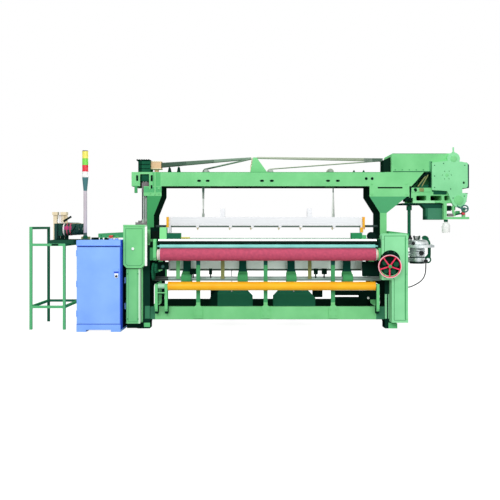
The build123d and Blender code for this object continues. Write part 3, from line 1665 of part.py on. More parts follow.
# Clutch housing on its arm, with the bores for the main shaft and the dobby shaft
lever_pin_front = lever_front - lever_pin_head
with BuildPart() as clutch_housing:
    add(rod_z(clutch_x, main_y, clutch_barrel, clutch_barrel_bottom, clutch_disc_z[0]))
    add(rod_z(clutch_x, main_y, clutch_barrel + clutch_band_reach, *clutch_band))
    add(rod_z(clutch_x, main_y, clutch_disc, *clutch_disc_z))
    add(rod_z(clutch_x, main_y, clutch_dome, clutch_disc_z[1], clutch_dome_top))
    fillet(clutch_housing.edges().filter_by(GeomType.CIRCLE).sort_by(Axis.Z)[-1], radius=clutch_dome_fillet)
    for stud_x, stud_y in clutch_stud_places:
        add(rod_z(stud_x, stud_y, clutch_stud / 2, clutch_disc_z[1], clutch_stud_top))
    add(rod_z(drive_x, drive_y, drive_boss / 2, clutch_disc_z[1], drive_boss_top))
    with BuildSketch(Plane.XY.offset(drive_boss_top)):
        with Locations((drive_x, drive_y)):
            Circle(drive_diameter / 2 + running_gap)
    extrude(amount=drive_bottom - drive_boss_top, mode=Mode.SUBTRACT)
    with BuildSketch(Plane.YZ.offset(clutch_x - clutch_barrel - clutch_band_reach)):
        with Locations((main_y, main_z)):
            Circle(main_shaft / 2 + running_gap)
    extrude(amount=main_shaft_entry + end_gap, mode=Mode.SUBTRACT)
    add(block((frame_outer - frame_pocket, clutch_arm_end),
              (clutch_arm_front, clutch_arm_front + clutch_arm_depth), clutch_arm))
    add(block((clutch_x - clutch_link / 2, clutch_x + clutch_link / 2),
              (main_y, clutch_arm_front), clutch_arm))
    add(rod_y(lever_x, lever_z, lever_pin / 2, lever_pin_front, clutch_arm_front))
    add(rod_y(lever_x, lever_z, lever_pin, lever_pin_front - lever_pin_head, lever_pin_front))
    add(rod_z(cable_route[0][0], cable_route[0][1], gland_diameter / 2,
              clutch_arm[0] - gland_length, clutch_arm[0]))
save("clutch_housing", clutch_housing.part)

lever_outline = (
    (lever_x - lever_bulge + lever_collar[0], lever_z + lever_collar[1]),
    *[(lever_x + x, lever_z + z) for x, z in lever_arm],
    (lever_x + lever_bulge - lever_collar[0], lever_z + lever_collar[1]),
)
with BuildPart() as clutch_lever:
    with BuildSketch(Plane.XZ.offset(-lever_front - lever_thickness)):
        with BuildLine():
            Polyline(*lever_outline, close=True)
        make_face()
        with Locations((lever_x, lever_z)):
            Circle(lever_bulge)
            Circle(lever_pin / 2 + running_gap, mode=Mode.SUBTRACT)
    extrude(amount=lever_thickness)
save("clutch_lever", clutch_lever.part)

# Cable from the clutch arm to the right cover: straight runs joined by tangent arcs
cable_points = [Vector(*point) for point in cable_route]
cable_bends = []
for before, corner, after in zip(cable_points, cable_points[1:], cable_points[2:]):
    half_turn = radians((corner - before).get_angle(after - corner)) / 2
    shortest = min((corner - before).length, (after - corner).length)
    cable_bends.append(cable_bend_share * shortest / tan(half_turn))
print("clutch cable bend radii", [round(radius, 1) for radius in cable_bends])
with BuildPart() as clutch_cable:
    with BuildLine() as cable_line:
        FilletPolyline(*cable_points, radius=cable_bends)
    with BuildSketch(Plane(origin=cable_line.wires()[0] @ 0, z_dir=cable_line.wires()[0] % 0)):
        Circle(cable_diameter / 2)
    sweep(path=cable_line.wires()[0])
print("clutch cable volume", clutch_cable.part.volume,
      "section times length", cable_line.wires()[0].length * pi * cable_diameter ** 2 / 4)
save("clutch_cable", clutch_cable.part)

# Rapier covers outside the arch legs
rapier_covers = []
for inner, outer in ((-frame_outer, rapier_cover_end), (frame_outer, rapier_cover_right_end)):
    rapier_covers.append(front_prism(
        ((inner, rapier_cover_bottom), (inner, rapier_cover_tops[1]), (outer, rapier_cover_tops[0]),
         (outer, rapier_cover_bottom)), rapier_cover_front, rapier_cover_rear))
save_group("rapier_covers", rapier_covers)

# Temples and rapier guides on the breast beam
with BuildPart() as left_temple:
    for left, right, low, high in left_temple_blocks:
        add(block((left, right), (temple_front, temple_rear), (beam_top + low, beam_top + high)))
    add(rod_x((temple_front + temple_rear) / 2, beam_top + temple_bar_rise, temple_bar_radius, *left_temple_bar))
with BuildPart() as right_temple:
    for left, right, low, high in right_temple_blocks:
        add(block((left, right), (temple_front, temple_rear), (beam_top + low, beam_top + high)))
    drum_x, drum_rise, drum_radius = right_temple_drum
    add(rod_y(drum_x, beam_top + drum_rise, drum_radius, temple_front, temple_rear))
save_group("temples", [left_temple.part, right_temple.part])

# Weft stand of square tube
stand_rows = (stand_front, stand_rear - stand_tube)
stand_columns = ((stand_left, stand_tall), (stand_right - stand_tube, stand_low))
stand_bars = []
for depth in stand_rows:
    for left, top in stand_columns:
        stand_bars.append(block((left, left + stand_tube), (depth, depth + stand_tube), (0, top)))
    for top in (stand_low, stand_brace):
        stand_bars.append(block((stand_left + stand_tube, stand_right - stand_tube),
                                (depth, depth + stand_tube), (top - stand_tube, top)))
for left, upper in stand_columns:
    for top in (upper, stand_brace):
        stand_bars.append(block((left, left + stand_tube),
                                (stand_front + stand_tube, stand_rear - stand_tube), (top - stand_tube, top)))
save_group("weft_stand", stand_bars)

# Weft feeders on their base plate, with the sensor post
feeder_bodies = []
feeder_base_bottom = stand_low
for number in range(feeder_count):
    place = feeder_first_y + number * feeder_pitch
    with BuildPart() as feeder:
        add(block((feeder_housing_left, feeder_housing_right),
                  (place - feeder_housing_width / 2, place + feeder_housing_width / 2), feeder_housing))
        add(rod_x(place, feeder_axis_z, feeder_axle / 2, feeder_housing_right, feeder_drum_left))
        add(rod_x(place, feeder_axis_z, feeder_disc_radius, feeder_drum_left - feeder_disc, feeder_drum_left))
        add(rod_x(place, feeder_axis_z, feeder_radius, feeder_drum_left, feeder_drum_right))
        add(rod_x(place, feeder_axis_z, feeder_nose_radius, feeder_drum_right, feeder_nose))
        fillet(feeder.edges().filter_by(GeomType.CIRCLE).sort_by(Axis.X)[-1], radius=feeder_nose_fillet)
        add(block((feeder_housing_left, feeder_housing_left + feeder_post),
                  (place - feeder_post / 2, place + feeder_post / 2),
                  (feeder_base_bottom + feeder_base_thickness, feeder_housing[0])))
    feeder_bodies.append(feeder.part)
feeder_bodies.append(block(feeder_base, (stand_front, feeder_base_rear),
                           (feeder_base_bottom, feeder_base_bottom + feeder_base_thickness)))
with BuildPart() as sensor_post:
    add(block((feeder_post_x - feeder_post / 2, feeder_post_x + feeder_post / 2),
              (feeder_post_y - feeder_post / 2, feeder_post_y + feeder_post / 2),
              (feeder_base_bottom + feeder_base_thickness, feeder_post_top)))
    add(block(feeder_plate, (feeder_post_y - feeder_post, feeder_post_y + feeder_post),
              (feeder_post_top, feeder_post_top + feeder_plate_thickness)))
    for place in sensor_places:
        add(rod_z(place, feeder_post_y, sensor_radius, feeder_post_top - sensor_length, feeder_post_top))
feeder_bodies.append(sensor_post.part)
save_group("feeder_bodies", feeder_bodies)

# Control cabinet: hollow shell with its control gear, plinth, feet and top band
cabinet_mid = cabinet_left + cabinet_width / 2
shell_front = cabinet_front + door_thickness + door_gap
shell_bottom = cabinet_foot + cabinet_plinth
shell_top = cabinet_top - cabinet_band
with BuildPart() as cabinet_body:
    add(block((cabinet_left, cabinet_right), (shell_front, cabinet_rear), (shell_bottom, shell_top)))
    with BuildSketch(Plane.XZ.offset(-shell_front)):
        with Locations((cabinet_mid, (shell_bottom + shell_top) / 2)):
            Rectangle(cabinet_width - 2 * cabinet_wall, shell_top - shell_bottom - 2 * cabinet_wall)
    extrude(amount=-(cabinet_rear - cabinet_wall - shell_front), mode=Mode.SUBTRACT)
    add(block((cabinet_left, cabinet_right), (cabinet_front, cabinet_rear), (cabinet_foot, shell_bottom)))
    add(block((cabinet_left, cabinet_right), (cabinet_front, cabinet_rear), (shell_top, cabinet_top)))
    add(block((cabinet_left + gear_edge, cabinet_right - gear_edge),
              (cabinet_rear - cabinet_wall - gear_plate, cabinet_rear - cabinet_wall),
              (shell_bottom + gear_edge, shell_top - gear_edge)))
    for bottom, height, depth in gear_rows:
        gear_face = cabinet_rear - cabinet_wall - gear_plate
        add(block((cabinet_left + 2 * gear_edge, cabinet_right - 2 * gear_edge),
                  (gear_face - depth, gear_face), (bottom, bottom + height)))
    for left in (cabinet_left, cabinet_right - cabinet_foot_width):
        add(block((left, left + cabinet_foot_width), (cabinet_front, cabinet_rear), (0, cabinet_foot)))
    for height in tie_heights:
        add(block((cabinet_right, lower_cover_left), (tie_front, tie_front + tie_size),
                  (height, height + tie_size)))
    for button_x, radius in ((stop_x, stop_radius), (start_x, start_radius)):
        add(rod_z(button_x, button_y, radius, cabinet_top, cabinet_top + button_collar))
        with BuildSketch(Plane.XY.offset(cabinet_top + button_collar)):
            with Locations((button_x, button_y)):
                Circle(button_stem / 2 + button_gap)
        extrude(amount=-button_collar - button_bore, mode=Mode.SUBTRACT)
save("cabinet_body", cabinet_body.part)

# Door with its handle plate and lock
with BuildPart() as cabinet_door:
    add(block((cabinet_left + door_gap, cabinet_right - door_gap),
              (cabinet_front, cabinet_front + door_thickness), (shell_bottom + door_gap, shell_top - door_joint)))
    add(block((handle_x - handle_width / 2, handle_x + handle_width / 2),
              (cabinet_front - handle_depth, cabinet_front),
              (handle_z - handle_length / 2, handle_z + handle_length / 2)))
    add(rod_y(handle_x, lock_z, lock_radius, cabinet_front - handle_depth, cabinet_front))
save("cabinet_door", cabinet_door.part)


def push_button(button_x, radius, head):
    """A button: its head stands above the collar by its travel, and the stem guides it."""
    bottom = cabinet_top + button_collar + button_travel + button_gap
    with BuildPart() as button:
        add(rod_z(button_x, button_y, radius, bottom, bottom + head))
        fillet(button.faces().sort_by(Axis.Z)[-1].edges(), radius=button_seat)
        add(rod_z(button_x, button_y, button_stem / 2, cabinet_top, bottom))
    return button.part


save("emergency_button", push_button(stop_x, stop_radius, stop_head))
save("start_button", push_button(start_x, start_radius, start_head))

# Signal lamp: pole with its foot and cone, and the column of lamps
with BuildPart() as lamp_column:
    add(rod_z(lamp_x, lamp_y, lamp_base / 2, cabinet_top, cabinet_top + lamp_base_height))
    add(rod_z(lamp_x, lamp_y, lamp_pole / 2, cabinet_top, lamp_pole_top))
    with BuildSketch(Plane.XY.offset(lamp_pole_top)):
        with Locations((lamp_x, lamp_y)):
            Circle(lamp_pole / 2)
    with BuildSketch(Plane.XY.offset(lamp_holder_top)):
        with Locations((lamp_x, lamp_y)):
            Circle(lamp_radius)
    loft()
save("lamp_pole", lamp_column.part)

with BuildPart() as lamp_lenses:
    for bottom, top in zip(lamp_levels, lamp_levels[1:]):
        add(rod_z(lamp_x, lamp_y, lamp_radius, bottom, top - lamp_seam))
        add(rod_z(lamp_x, lamp_y, lamp_radius - lamp_seam, bottom, top))
    add(rod_z(lamp_x, lamp_y, lamp_radius, lamp_levels[-1], lamp_levels[-1] + lamp_cap))
    fillet(lamp_lenses.faces().sort_by(Axis.Z)[-1].edges(), radius=lamp_cap / 2)
save("lamp_lenses", lamp_lenses.part)
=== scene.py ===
"""Looks of the power loom: paint, castings, rollers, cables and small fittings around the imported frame."""

import math

import bmesh
import bpy
import numpy as np
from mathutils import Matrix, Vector


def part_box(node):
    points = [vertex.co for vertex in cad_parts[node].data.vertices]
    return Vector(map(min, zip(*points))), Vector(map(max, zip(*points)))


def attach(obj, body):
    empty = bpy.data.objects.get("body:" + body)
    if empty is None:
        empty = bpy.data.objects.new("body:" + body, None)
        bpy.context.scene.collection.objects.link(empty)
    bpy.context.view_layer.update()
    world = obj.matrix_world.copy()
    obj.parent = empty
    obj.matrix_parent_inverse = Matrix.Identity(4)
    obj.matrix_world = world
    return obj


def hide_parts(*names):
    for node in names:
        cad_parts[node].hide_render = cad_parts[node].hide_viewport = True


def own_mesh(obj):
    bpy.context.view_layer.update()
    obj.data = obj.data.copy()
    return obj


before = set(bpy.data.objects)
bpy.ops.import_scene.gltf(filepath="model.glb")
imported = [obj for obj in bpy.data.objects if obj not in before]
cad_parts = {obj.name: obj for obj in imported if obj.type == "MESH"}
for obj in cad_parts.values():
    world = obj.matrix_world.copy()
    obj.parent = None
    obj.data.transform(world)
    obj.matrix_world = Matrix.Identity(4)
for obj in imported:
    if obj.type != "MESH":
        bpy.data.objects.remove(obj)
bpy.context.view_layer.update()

# Camera: where the photograph was taken from, in metres, with a level view along the depth
camera_place = (-0.136, -7.100, 1.037)
camera_lens = 46.8
camera_shift = (-0.008, -0.048)

# Shared sizes: fittings and colour areas are given in millimetres, and all else in metres
mm = 0.001
wire_top = 1612 * mm
frame_depths = (-155, -135, -115, -95)


def linear(hex_colour):
    """An sRGB hex colour as linear red, green and blue, with a full alpha."""
    channels = [int(hex_colour[i:i + 2], 16) / 255 for i in (1, 3, 5)]
    return (*[c / 12.92 if c <= 0.04045 else ((c + 0.055) / 1.055) ** 2.4 for c in channels], 1.0)


def fill_node(node, values):
    """Sets a node's sockets and properties. A socket as a value is linked, a node as a value is linked from
    its first output, and a colour ramp takes (position, hex colour) stops."""
    for name, value in values.items():
        if isinstance(value, bpy.types.Node):
            value = value.outputs[0]
        if isinstance(value, bpy.types.NodeSocket):
            node.id_data.links.new(value, node.inputs[name])
        elif name == "color_ramp":
            for element, (position, colour) in zip(node.color_ramp.elements, value):
                element.position = position
                element.color = linear(colour)
        elif isinstance(name, int) or name in node.inputs:
            node.inputs[name].default_value = value
        else:
            setattr(node, name, value)


def add_node(owner, kind, values=None):
    """Adds one node to a material or the world, with its settings and links."""
    node = owner.node_tree.nodes.new(f"ShaderNode{kind}")
    fill_node(node, values or {})
    return node


def new_material(name):
    """A material with a Principled surface, and the object coordinates that its patterns read."""
    material = bpy.data.materials.new(name)
    material.use_nodes = True
    return material, add_node(material, "TexCoord").outputs["Object"]


def finished(material, looks, relief, depth, strength):
    """Gives the surface its looks, by socket, and a bump of a real depth in metres that follows a pattern."""
    bump = add_node(material, "Bump", {"Height": relief, "Distance": depth, "Strength": strength})
    fill_node(material.node_tree.nodes["Principled BSDF"], {**looks, "Normal": bump})
    return material


def machine_enamel(name, light, dark, orange_peel=1.6 * mm, roughness=(0.34, 0.50), gloss=0.0):
    """Stoving enamel over castings and sheet, sprayed on: an eggshell coat with a slight orange peel and
    tone that drifts by a hand's width. Rollers and the hand wheel are glossier from cloth and hands."""
    material, place = new_material(name)
    drift = add_node(material, "TexNoise", {"Vector": place, "Scale": 1 / (260 * mm), "Detail": 4})
    rubbed = add_node(material, "TexNoise", {"Vector": place, "Scale": 1 / (70 * mm), "Detail": 5})
    peel = add_node(material, "TexNoise", {"Vector": place, "Scale": 1 / orange_peel, "Detail": 2})
    tones = ((0.30, dark), (0.68, light))
    return finished(material, {
        "Base Color": add_node(material, "ValToRGB", {"Fac": drift, "color_ramp": tones}),
        "Roughness": add_node(material, "MapRange", {"Value": rubbed, "From Min": 0.35, "From Max": 0.7,
                                                     "To Min": roughness[0], "To Max": roughness[1]}),
        "Specular IOR Level": gloss,
    }, peel, 0.05 * mm, 0.6)


def turned_steel(name, colour, line=0.8 * mm, roughness=(0.18, 0.34), metallic=1.0):
    """Steel turned or drawn to size: bright, with fine rings or draw lines across its length."""
    material, place = new_material(name)
    lines = (1 / line, 1 / (125 * mm), 1 / (125 * mm))
    drawn = add_node(material, "Mapping", {"Vector": place, "Scale": lines})
    grain = add_node(material, "TexNoise", {"Vector": drawn, "Scale": 1.0, "Detail": 2})
    return finished(material, {
        "Base Color": linear(colour), "Metallic": metallic,
        "Roughness": add_node(material, "MapRange", {"Value": grain, "From Min": 0.3, "From Max": 0.7,
                                                     "To Min": roughness[0], "To Max": roughness[1]}),
    }, grain, 0.01 * mm, 0.5)


def sand_cast_aluminium(name):
    """Sand cast aluminium, tumbled and left bare: grey, with a sandy skin and brighter rubbed parts."""
    material, place = new_material(name)
    tone = add_node(material, "TexNoise", {"Vector": place, "Scale": 1 / (60 * mm), "Detail": 4})
    sand = add_node(material, "TexNoise", {"Vector": place, "Scale": 1 / (2.2 * mm), "Detail": 4})
    greys = ((0.30, "#8F9A9C"), (0.70, "#E2E8E8"))
    return finished(material, {
        "Base Color": add_node(material, "ValToRGB", {"Fac": tone, "color_ramp": greys}), "Metallic": 0.75,
        "Roughness": add_node(material, "MapRange", {"Value": sand, "From Min": 0.3, "From Max": 0.7,
                                                     "To Min": 0.34, "To Max": 0.52}),
    }, sand, 0.12 * mm, 0.7)


def anodised_rail(name, light, dark):
    """Extruded aluminium rail, naturally anodised: pale, even, with faint lines along its length."""
    material, place = new_material(name)
    lines = (3.0, 1 / (2.5 * mm), 1 / (2.5 * mm))
    drawn = add_node(material, "Mapping", {"Vector": place, "Scale": lines})
    grain = add_node(material, "TexNoise", {"Vector": drawn, "Scale": 1.0, "Detail": 2})
    tones = ((0.35, dark), (0.65, light))
    return finished(material, {
        "Base Color": add_node(material, "ValToRGB", {"Fac": grain, "color_ramp": tones}),
        "Metallic": 0.25,
        "Roughness": add_node(material, "MapRange", {"Value": grain, "From Min": 0.3, "From Max": 0.7,
                                                     "To Min": 0.36, "To Max": 0.48}),
    }, grain, 0.02 * mm, 0.5)


def ribbed_rubber(name):
    """Grip rubber wound on the take-up roller: matt red, in bands with a fine pimple that holds the cloth."""
    material, place = new_material(name)
    tone = add_node(material, "TexNoise", {"Vector": place, "Scale": 1 / (28 * mm), "Detail": 5})
    reds = ((0.30, "#AC4560"), (0.72, "#C44F6B"))
    # The pimples are 1.2 mm apart on the real cover and are drawn at 4 mm, which is as fine as they show
    pimples = add_node(material, "TexVoronoi", {"Vector": place, "Scale": 1 / (4 * mm)})
    return finished(material, {
        "Base Color": add_node(material, "ValToRGB", {"Fac": tone, "color_ramp": reds}),
        "Roughness": 0.62, "Specular IOR Level": 0.2,
    }, pimples, 0.25 * mm, 0.7)


def moulded_plastic(name, light, dark, roughness=0.3, transmission=0.0):
    """Injection moulded plastic: even colour, soft gloss and a faint flow of tone."""
    material, place = new_material(name)
    flow = add_node(material, "TexNoise", {"Vector": place, "Scale": 1 / (25 * mm), "Detail": 3})
    mould = add_node(material, "TexNoise", {"Vector": place, "Scale": 1 / (0.9 * mm), "Detail": 2})
    tones = ((0.35, dark), (0.65, light))
    return finished(material, {
        "Base Color": add_node(material, "ValToRGB", {"Fac": flow, "color_ramp": tones}),
        "Roughness": roughness, "Transmission Weight": transmission,
    }, mould, 0.02 * mm, 0.4)


def black_rubber(name):
    """Moulded black rubber: matt, slightly dusty."""
    material, place = new_material(name)
    dust = add_node(material, "TexNoise", {"Vector": place, "Scale": 1 / (30 * mm), "Detail": 4})
    mould = add_node(material, "TexNoise", {"Vector": place, "Scale": 1 / (1.1 * mm), "Detail": 2})
    blacks = ((0.3, "#16181A"), (0.8, "#2C3032"))
    return finished(material, {
        "Base Color": add_node(material, "ValToRGB", {"Fac": dust, "color_ramp": blacks}),
        "Roughness": 0.7, "Specular IOR Level": 0.15,
    }, mould, 0.04 * mm, 0.6)


def zoned(material_name, base, zones):
    """A copy of a material whose colour changes in boxes, from zones of ((low, high corner), hex colour)."""
    material = base.copy()
    material.name = material_name
    base_colour = material.node_tree.nodes["Principled BSDF"].inputs["Base Color"]
    place = add_node(material, "TexCoord").outputs["Object"]
    plain = add_node(material, "RGB").outputs[0]
    plain.default_value = base_colour.default_value
    colour = base_colour.links[0].from_socket if base_colour.is_linked else plain
    for (low, high), hex_colour in zones:
        middle = [(a + b) / 2 for a, b in zip(low, high)]
        reach = [(b - a) / 2 for a, b in zip(low, high)]
        offset = add_node(material, "VectorMath", {"operation": "SUBTRACT", 0: place, 1: middle})
        away = add_node(material, "VectorMath", {"operation": "ABSOLUTE", 0: offset})
        past = add_node(material, "VectorMath", {"operation": "SUBTRACT", 0: away, 1: reach})
        axes = add_node(material, "SeparateXYZ", {0: past}).outputs
        sideways = add_node(material, "Math", {"operation": "MAXIMUM", 0: axes[0], 1: axes[1]})
        widest = add_node(material, "Math", {"operation": "MAXIMUM", 0: sideways, 1: axes[2]})
        inside = add_node(material, "Math", {"operation": "LESS_THAN", 0: widest, 1: 0.0})
        mix = add_node(material, "Mix", {"data_type": "RGBA", 0: inside, 6: colour, 7: linear(hex_colour)})
        colour = mix.outputs[2]
    fill_node(material.node_tree.nodes["Principled BSDF"], {"Base Color": colour})
    return material


def areas_of(*areas):
    """Zones in metres from areas given as (hex colour, box, box...), whose boxes are in millimetres, each
    as (left, front, bottom, right, rear, top)."""
    boxes = [(np.array(box) * mm, area[0]) for area in areas for box in area[1:]]
    return [((box[:3], box[3:]), colour) for box, colour in boxes]


def dress(material, *nodes):
    """Gives CAD nodes one material."""
    for name in nodes:
        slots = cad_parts[name].data.materials
        slots.clear()
        slots.append(material)


light_green = machine_enamel("light green stoving enamel", "#86D894", "#76CA86")
pale_green = machine_enamel("paler green stoving enamel", "#94E2A8", "#86D49A")
mid_green = machine_enamel("mid green stoving enamel", "#56B070", "#44995F")
dark_green = machine_enamel("dark green stoving enamel", "#22684A", "#174A36")
# Near black green: the colour of dark fittings, and painted shade where it covers holes and openings
black_green = machine_enamel("shadowed green enamel", "#0E2C24", "#081A15")
cabinet_blue = machine_enamel("cabinet blue powder coat", "#90BCFF", "#84B0FF", 1.1 * mm)
deep_blue = machine_enamel("deep blue powder coat", "#3A60E6", "#2B4CD0", 1.1 * mm)
wheel_red = machine_enamel("hand wheel red enamel", "#F0285A", "#D81C48", roughness=(0.22, 0.34), gloss=0.3)
roller_orange = machine_enamel("roller orange enamel", "#FFC024", "#FFAA16", roughness=(0.30, 0.42),
    gloss=0.2)
roller_teal = machine_enamel("press roller blue-green enamel", "#98EADE", "#80D6CC",
    roughness=(0.22, 0.36), gloss=0.2)
olive_enamel = machine_enamel("oil-stained olive enamel", "#9AA06A", "#7C8452")
cream_enamel = machine_enamel("feeder cream enamel", "#EFE2C4", "#D8C49C")
lilac_enamel = machine_enamel("lamp pole grey enamel", "#CFC6CE", "#A9A0AC")
bright_steel = turned_steel("polished breast bar steel", "#E9ECEC", roughness=(0.12, 0.24))
shaft_steel = turned_steel("turned shaft steel", "#8FA39C", roughness=(0.30, 0.44), metallic=0.3)
cable_steel = turned_steel("drawn cable steel", "#8C9C90", 1.5 * mm, (0.4, 0.55), 0.1)
tube_steel = turned_steel("drawn tube steel", "#A4ACA8", 1.5 * mm, (0.35, 0.5), 0.15)
bright_zinc = turned_steel("zinc plated steel", "#BCC6C0", 3 * mm, (0.35, 0.50), 0.3)
dark_cable = turned_steel("oiled dark wire rope", "#3A5646", 1.5 * mm, (0.4, 0.55), 0.1)
brass = turned_steel("dull brass", "#C9A866", 2 * mm, (0.30, 0.45))
mauve_casting = machine_enamel("grey primer on castings", "#A29A9C", "#7A7276")
clamp_grey = machine_enamel("grey clamp castings", "#BFC8C0", "#98A49A")
wheel_teal = machine_enamel("dark teal knob wheel", "#4A7A74", "#356058")
# Pale pink for the hand wheel's rim: a painted highlight along its edge
rim_pink = machine_enamel("pink rim highlight enamel", "#FFD9E2", "#F4BECC")
knob_red = moulded_plastic("red phenolic knob", "#E8243C", "#C41830")
knob_white = moulded_plastic("white knob plastic", "#FFFFFF", "#F2F2F0")
yarn_magenta = ribbed_rubber("magenta yarn windings")
yarn_white = machine_enamel("white yarn windings", "#F6F2F0", "#E0DADC")
bare_casting = sand_cast_aluminium("bare cast aluminium")
rail_silver = anodised_rail("heald rail aluminium", "#E4E5E8", "#D6D8DC")
grip_rubber = ribbed_rubber("take-up grip rubber")
belt_rubber = black_rubber("belt rubber")
stop_red = moulded_plastic("stop button red plastic", "#E02A2A", "#C81E22")
start_green = moulded_plastic("start button green plastic", "#37B24D", "#2A9440")
bottle_clear = moulded_plastic("drip bottle polyethylene", "#FFFFFF", "#F4F6F2", 0.35, 0.15)
lens_plain = moulded_plastic("lamp lens polycarbonate", "#FFFFFF", "#F4F6F2", 0.18, 0.1)

dress(pale_green, "dobby_plate")
dress(mid_green, "race_board", "rear_brackets", "rapier_covers", "drive_motor")
dress(dark_green, "clutch_lever", "dobby_shaft")
dress(bright_steel, "breast_bar", "back_rest_roller")
dress(shaft_steel, "reed")
dress(roller_teal, "press_roller")
dress(wheel_red, "handwheel")
dress(cable_steel, "harness_cables", "lift_wires")
dress(bottle_clear, "drip_bottle")
dress(bare_casting, "main_pulley", "motor_pulley")
dress(wheel_teal, "dobby_wheel")
dress(belt_rubber, "drive_belt", "clutch_cable")
dress(stop_red, "emergency_button")
dress(start_green, "start_button")


def coloured(node, base, *areas, zones=()):
    """Dresses a node in a material with areas of other colours, as in areas_of, or with zones."""
    dress(zoned(f"{node.replace('_', ' ')} in its colours", base, zones or areas_of(*areas)), node)


def banded(node, base, *parts):
    """Dresses a node in a material whose colour changes along one axis: parts are (axis, low, high, colour),
    and each covers the node's box in the other two axes with a little room round it."""
    room = 5 * mm
    zones = []
    for axis, low, high, colour in parts:
        lowest, highest = ([v + step for v in corner] for corner, step in zip(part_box(node), (-room, room)))
        lowest[axis], highest[axis] = low, high
        zones.append(((lowest, highest), colour))
    coloured(node, base, zones=zones)


inner_shade = "#10291F"
# Near-white mint for the narrow right side faces of the left covers: a painted highlight
painted_side_highlight = "#D4F5DC"
banded("lamp_lenses", lens_plain, (2, 1.58, 1.645, "#E8283C"), (2, 1.645, 1.711, "#7CE04A"),
    (2, 1.711, 1.783, "#F6EA62"), (2, 1.783, 1.9, "#3B4244"))
banded("take_up_roller", grip_rubber, (0, -1.3, -1.0855, "#E9DCD0"), (0, 1.0855, 1.3, "#E7D3B4"))
banded("rocking_shaft", shaft_steel, (0, -1.4, -1.03, "#26362F"))
banded("lamp_pole", lilac_enamel, (2, 1.388, 1.53, "#4F7C80"), (2, 0.88, 0.97, "#4C5C5A"))
# The thin dark band low on the cloth roller is painted shade along its underside
banded("cloth_roller", roller_orange, (2, 0.38, 0.3915, "#5A2A08"), (0, -1.3, -1.0005, "#A9D9B6"),
    (0, 1.0835, 1.3, "#A9D9B6"))
coloured("feeder_bodies", cream_enamel, ("#2C4C46", (-2145, -605, 900, -1900, -110, 1062),
    (-2104, -605, 1062, -2096, -110, 1180)),
    ("#E8E4E2", (-2092, -605, 1062, -2076, -110, 1180), (-2066, -605, 900, -2054, -110, 1075)),
    ("#B8327E", (-2050, -605, 1000, -2036, -110, 1034), (-2022, -605, 1000, -2008, -110, 1034),
    (-1990, -605, 1000, -1980, -110, 1034)), ("#24503E", (-2185, -610, 855, -1930, -110, 900)))
coloured("spring_block", dark_green, ("#123E2C", (-1380, -240, 1470, -1322, -10, 1745)),
    ("#0E3426", (-1380, -240, 1722, -1220, -10, 1745)))
coloured("spring_tubes", tube_steel, ("#3A4240", (-1330, -240, 1079.5, -1309, 0, 1520)),
    ("#C2C8C4", (-1308, -240, 1079.5, -1290, 0, 1520)), ("#A8B0A8", (-1400, -240, 1030, -1260, 0, 1079.5)))
coloured("breast_beam", light_green, (inner_shade, (-1300, -600, 800, 1300, -400, 881)))
coloured("breast_struts", light_green, ("#4CA26A", (-760, -560, 260, 730, -400, 900)),
    ("#1E5A50", (-760, -560, 640, 730, -400, 900)))
coloured("sley_swords", mid_green, ("#175044", (-960, -420, 560, 960, -200, 900)))
coloured("reed_cap", rail_silver, ("#8FAE9C", (-1100, -500, 898, 1100, -200, 960)))
coloured("weft_stand", mid_green, ("#62BA80", (-2400, -650, 0, -1800, -577, 1100)),
    ("#27664C", (-2390, -45, 0, -2020, -10, 1035)), ("#2C7254", (-2359, -577, 0, -2048, -38, 1035)))
# The mid green over the front of the arch's left end, round the upright rib, is painted shade
coloured("arch_beam", light_green, ("#3E9058", (-1200, -262, 1601, 1240, 145, 1606)),
    ("#62BC78", (-1204, -262, 1456, -1120, -258, 1606)),
    (inner_shade, (-1430, -259.5, 1450, 1600, 145, 1456.5), (-730, -259.5, 1500, 770, -245, 1526),
    (1025, -259.5, 1525, 1130, -245, 1550), (-1420, -255, 1462, -1200, 134, 1598)))
# The mid greens over the arch legs' gussets, below their heads, are painted shade in the recess
coloured("left_arch_leg", light_green, ("#5DB678", (-1300, -265, 1390, -1100, 145, 1448)),
    ("#47A063", (-1300, -265, 1000, -1100, 145, 1354)),
    (inner_shade, (-1190.5, -259.5, 840, -1100, 145, 1460)))
coloured("right_arch_leg", light_green, ("#54A873", (1185, -265, 1174, 1480, 145, 1347),
    (1070, -265, 1174, 1190, 145, 1347)),
    (inner_shade, (1070, -259.5, 840, 1190.5, 145, 1460), (1150, -259.5, 1425, 1440, -245, 1456)))
# On both side frames the near black inner faces and the dark green front edges are painted shade
coloured("left_side_frame", light_green, ("#0A1C17", (-1191, -519.5, 0, -1180, 630, 860)),
    ("#12352A", (-1330, -600, 0, -1180, -505, 845)), ("#3F8060", (-1240, -600, 100, -1180, -505, 228)),
    ("#6FD08A", (-1250, -600, 15, -1185, -505, 58)))
coloured("right_side_frame", light_green, ("#0A1C17", (1180, -519.5, 0, 1191, 630, 860)),
    ("#12352A", (1180, -600, 0, 1270, -505, 660)),
    ("#98E0AE", (1184, -600, 100, 1210, -505, 348), (1223, -600, 100, 1249, -505, 348)),
    ("#6FD08A", (1225, -600, 0, 1315, -505, 58)))
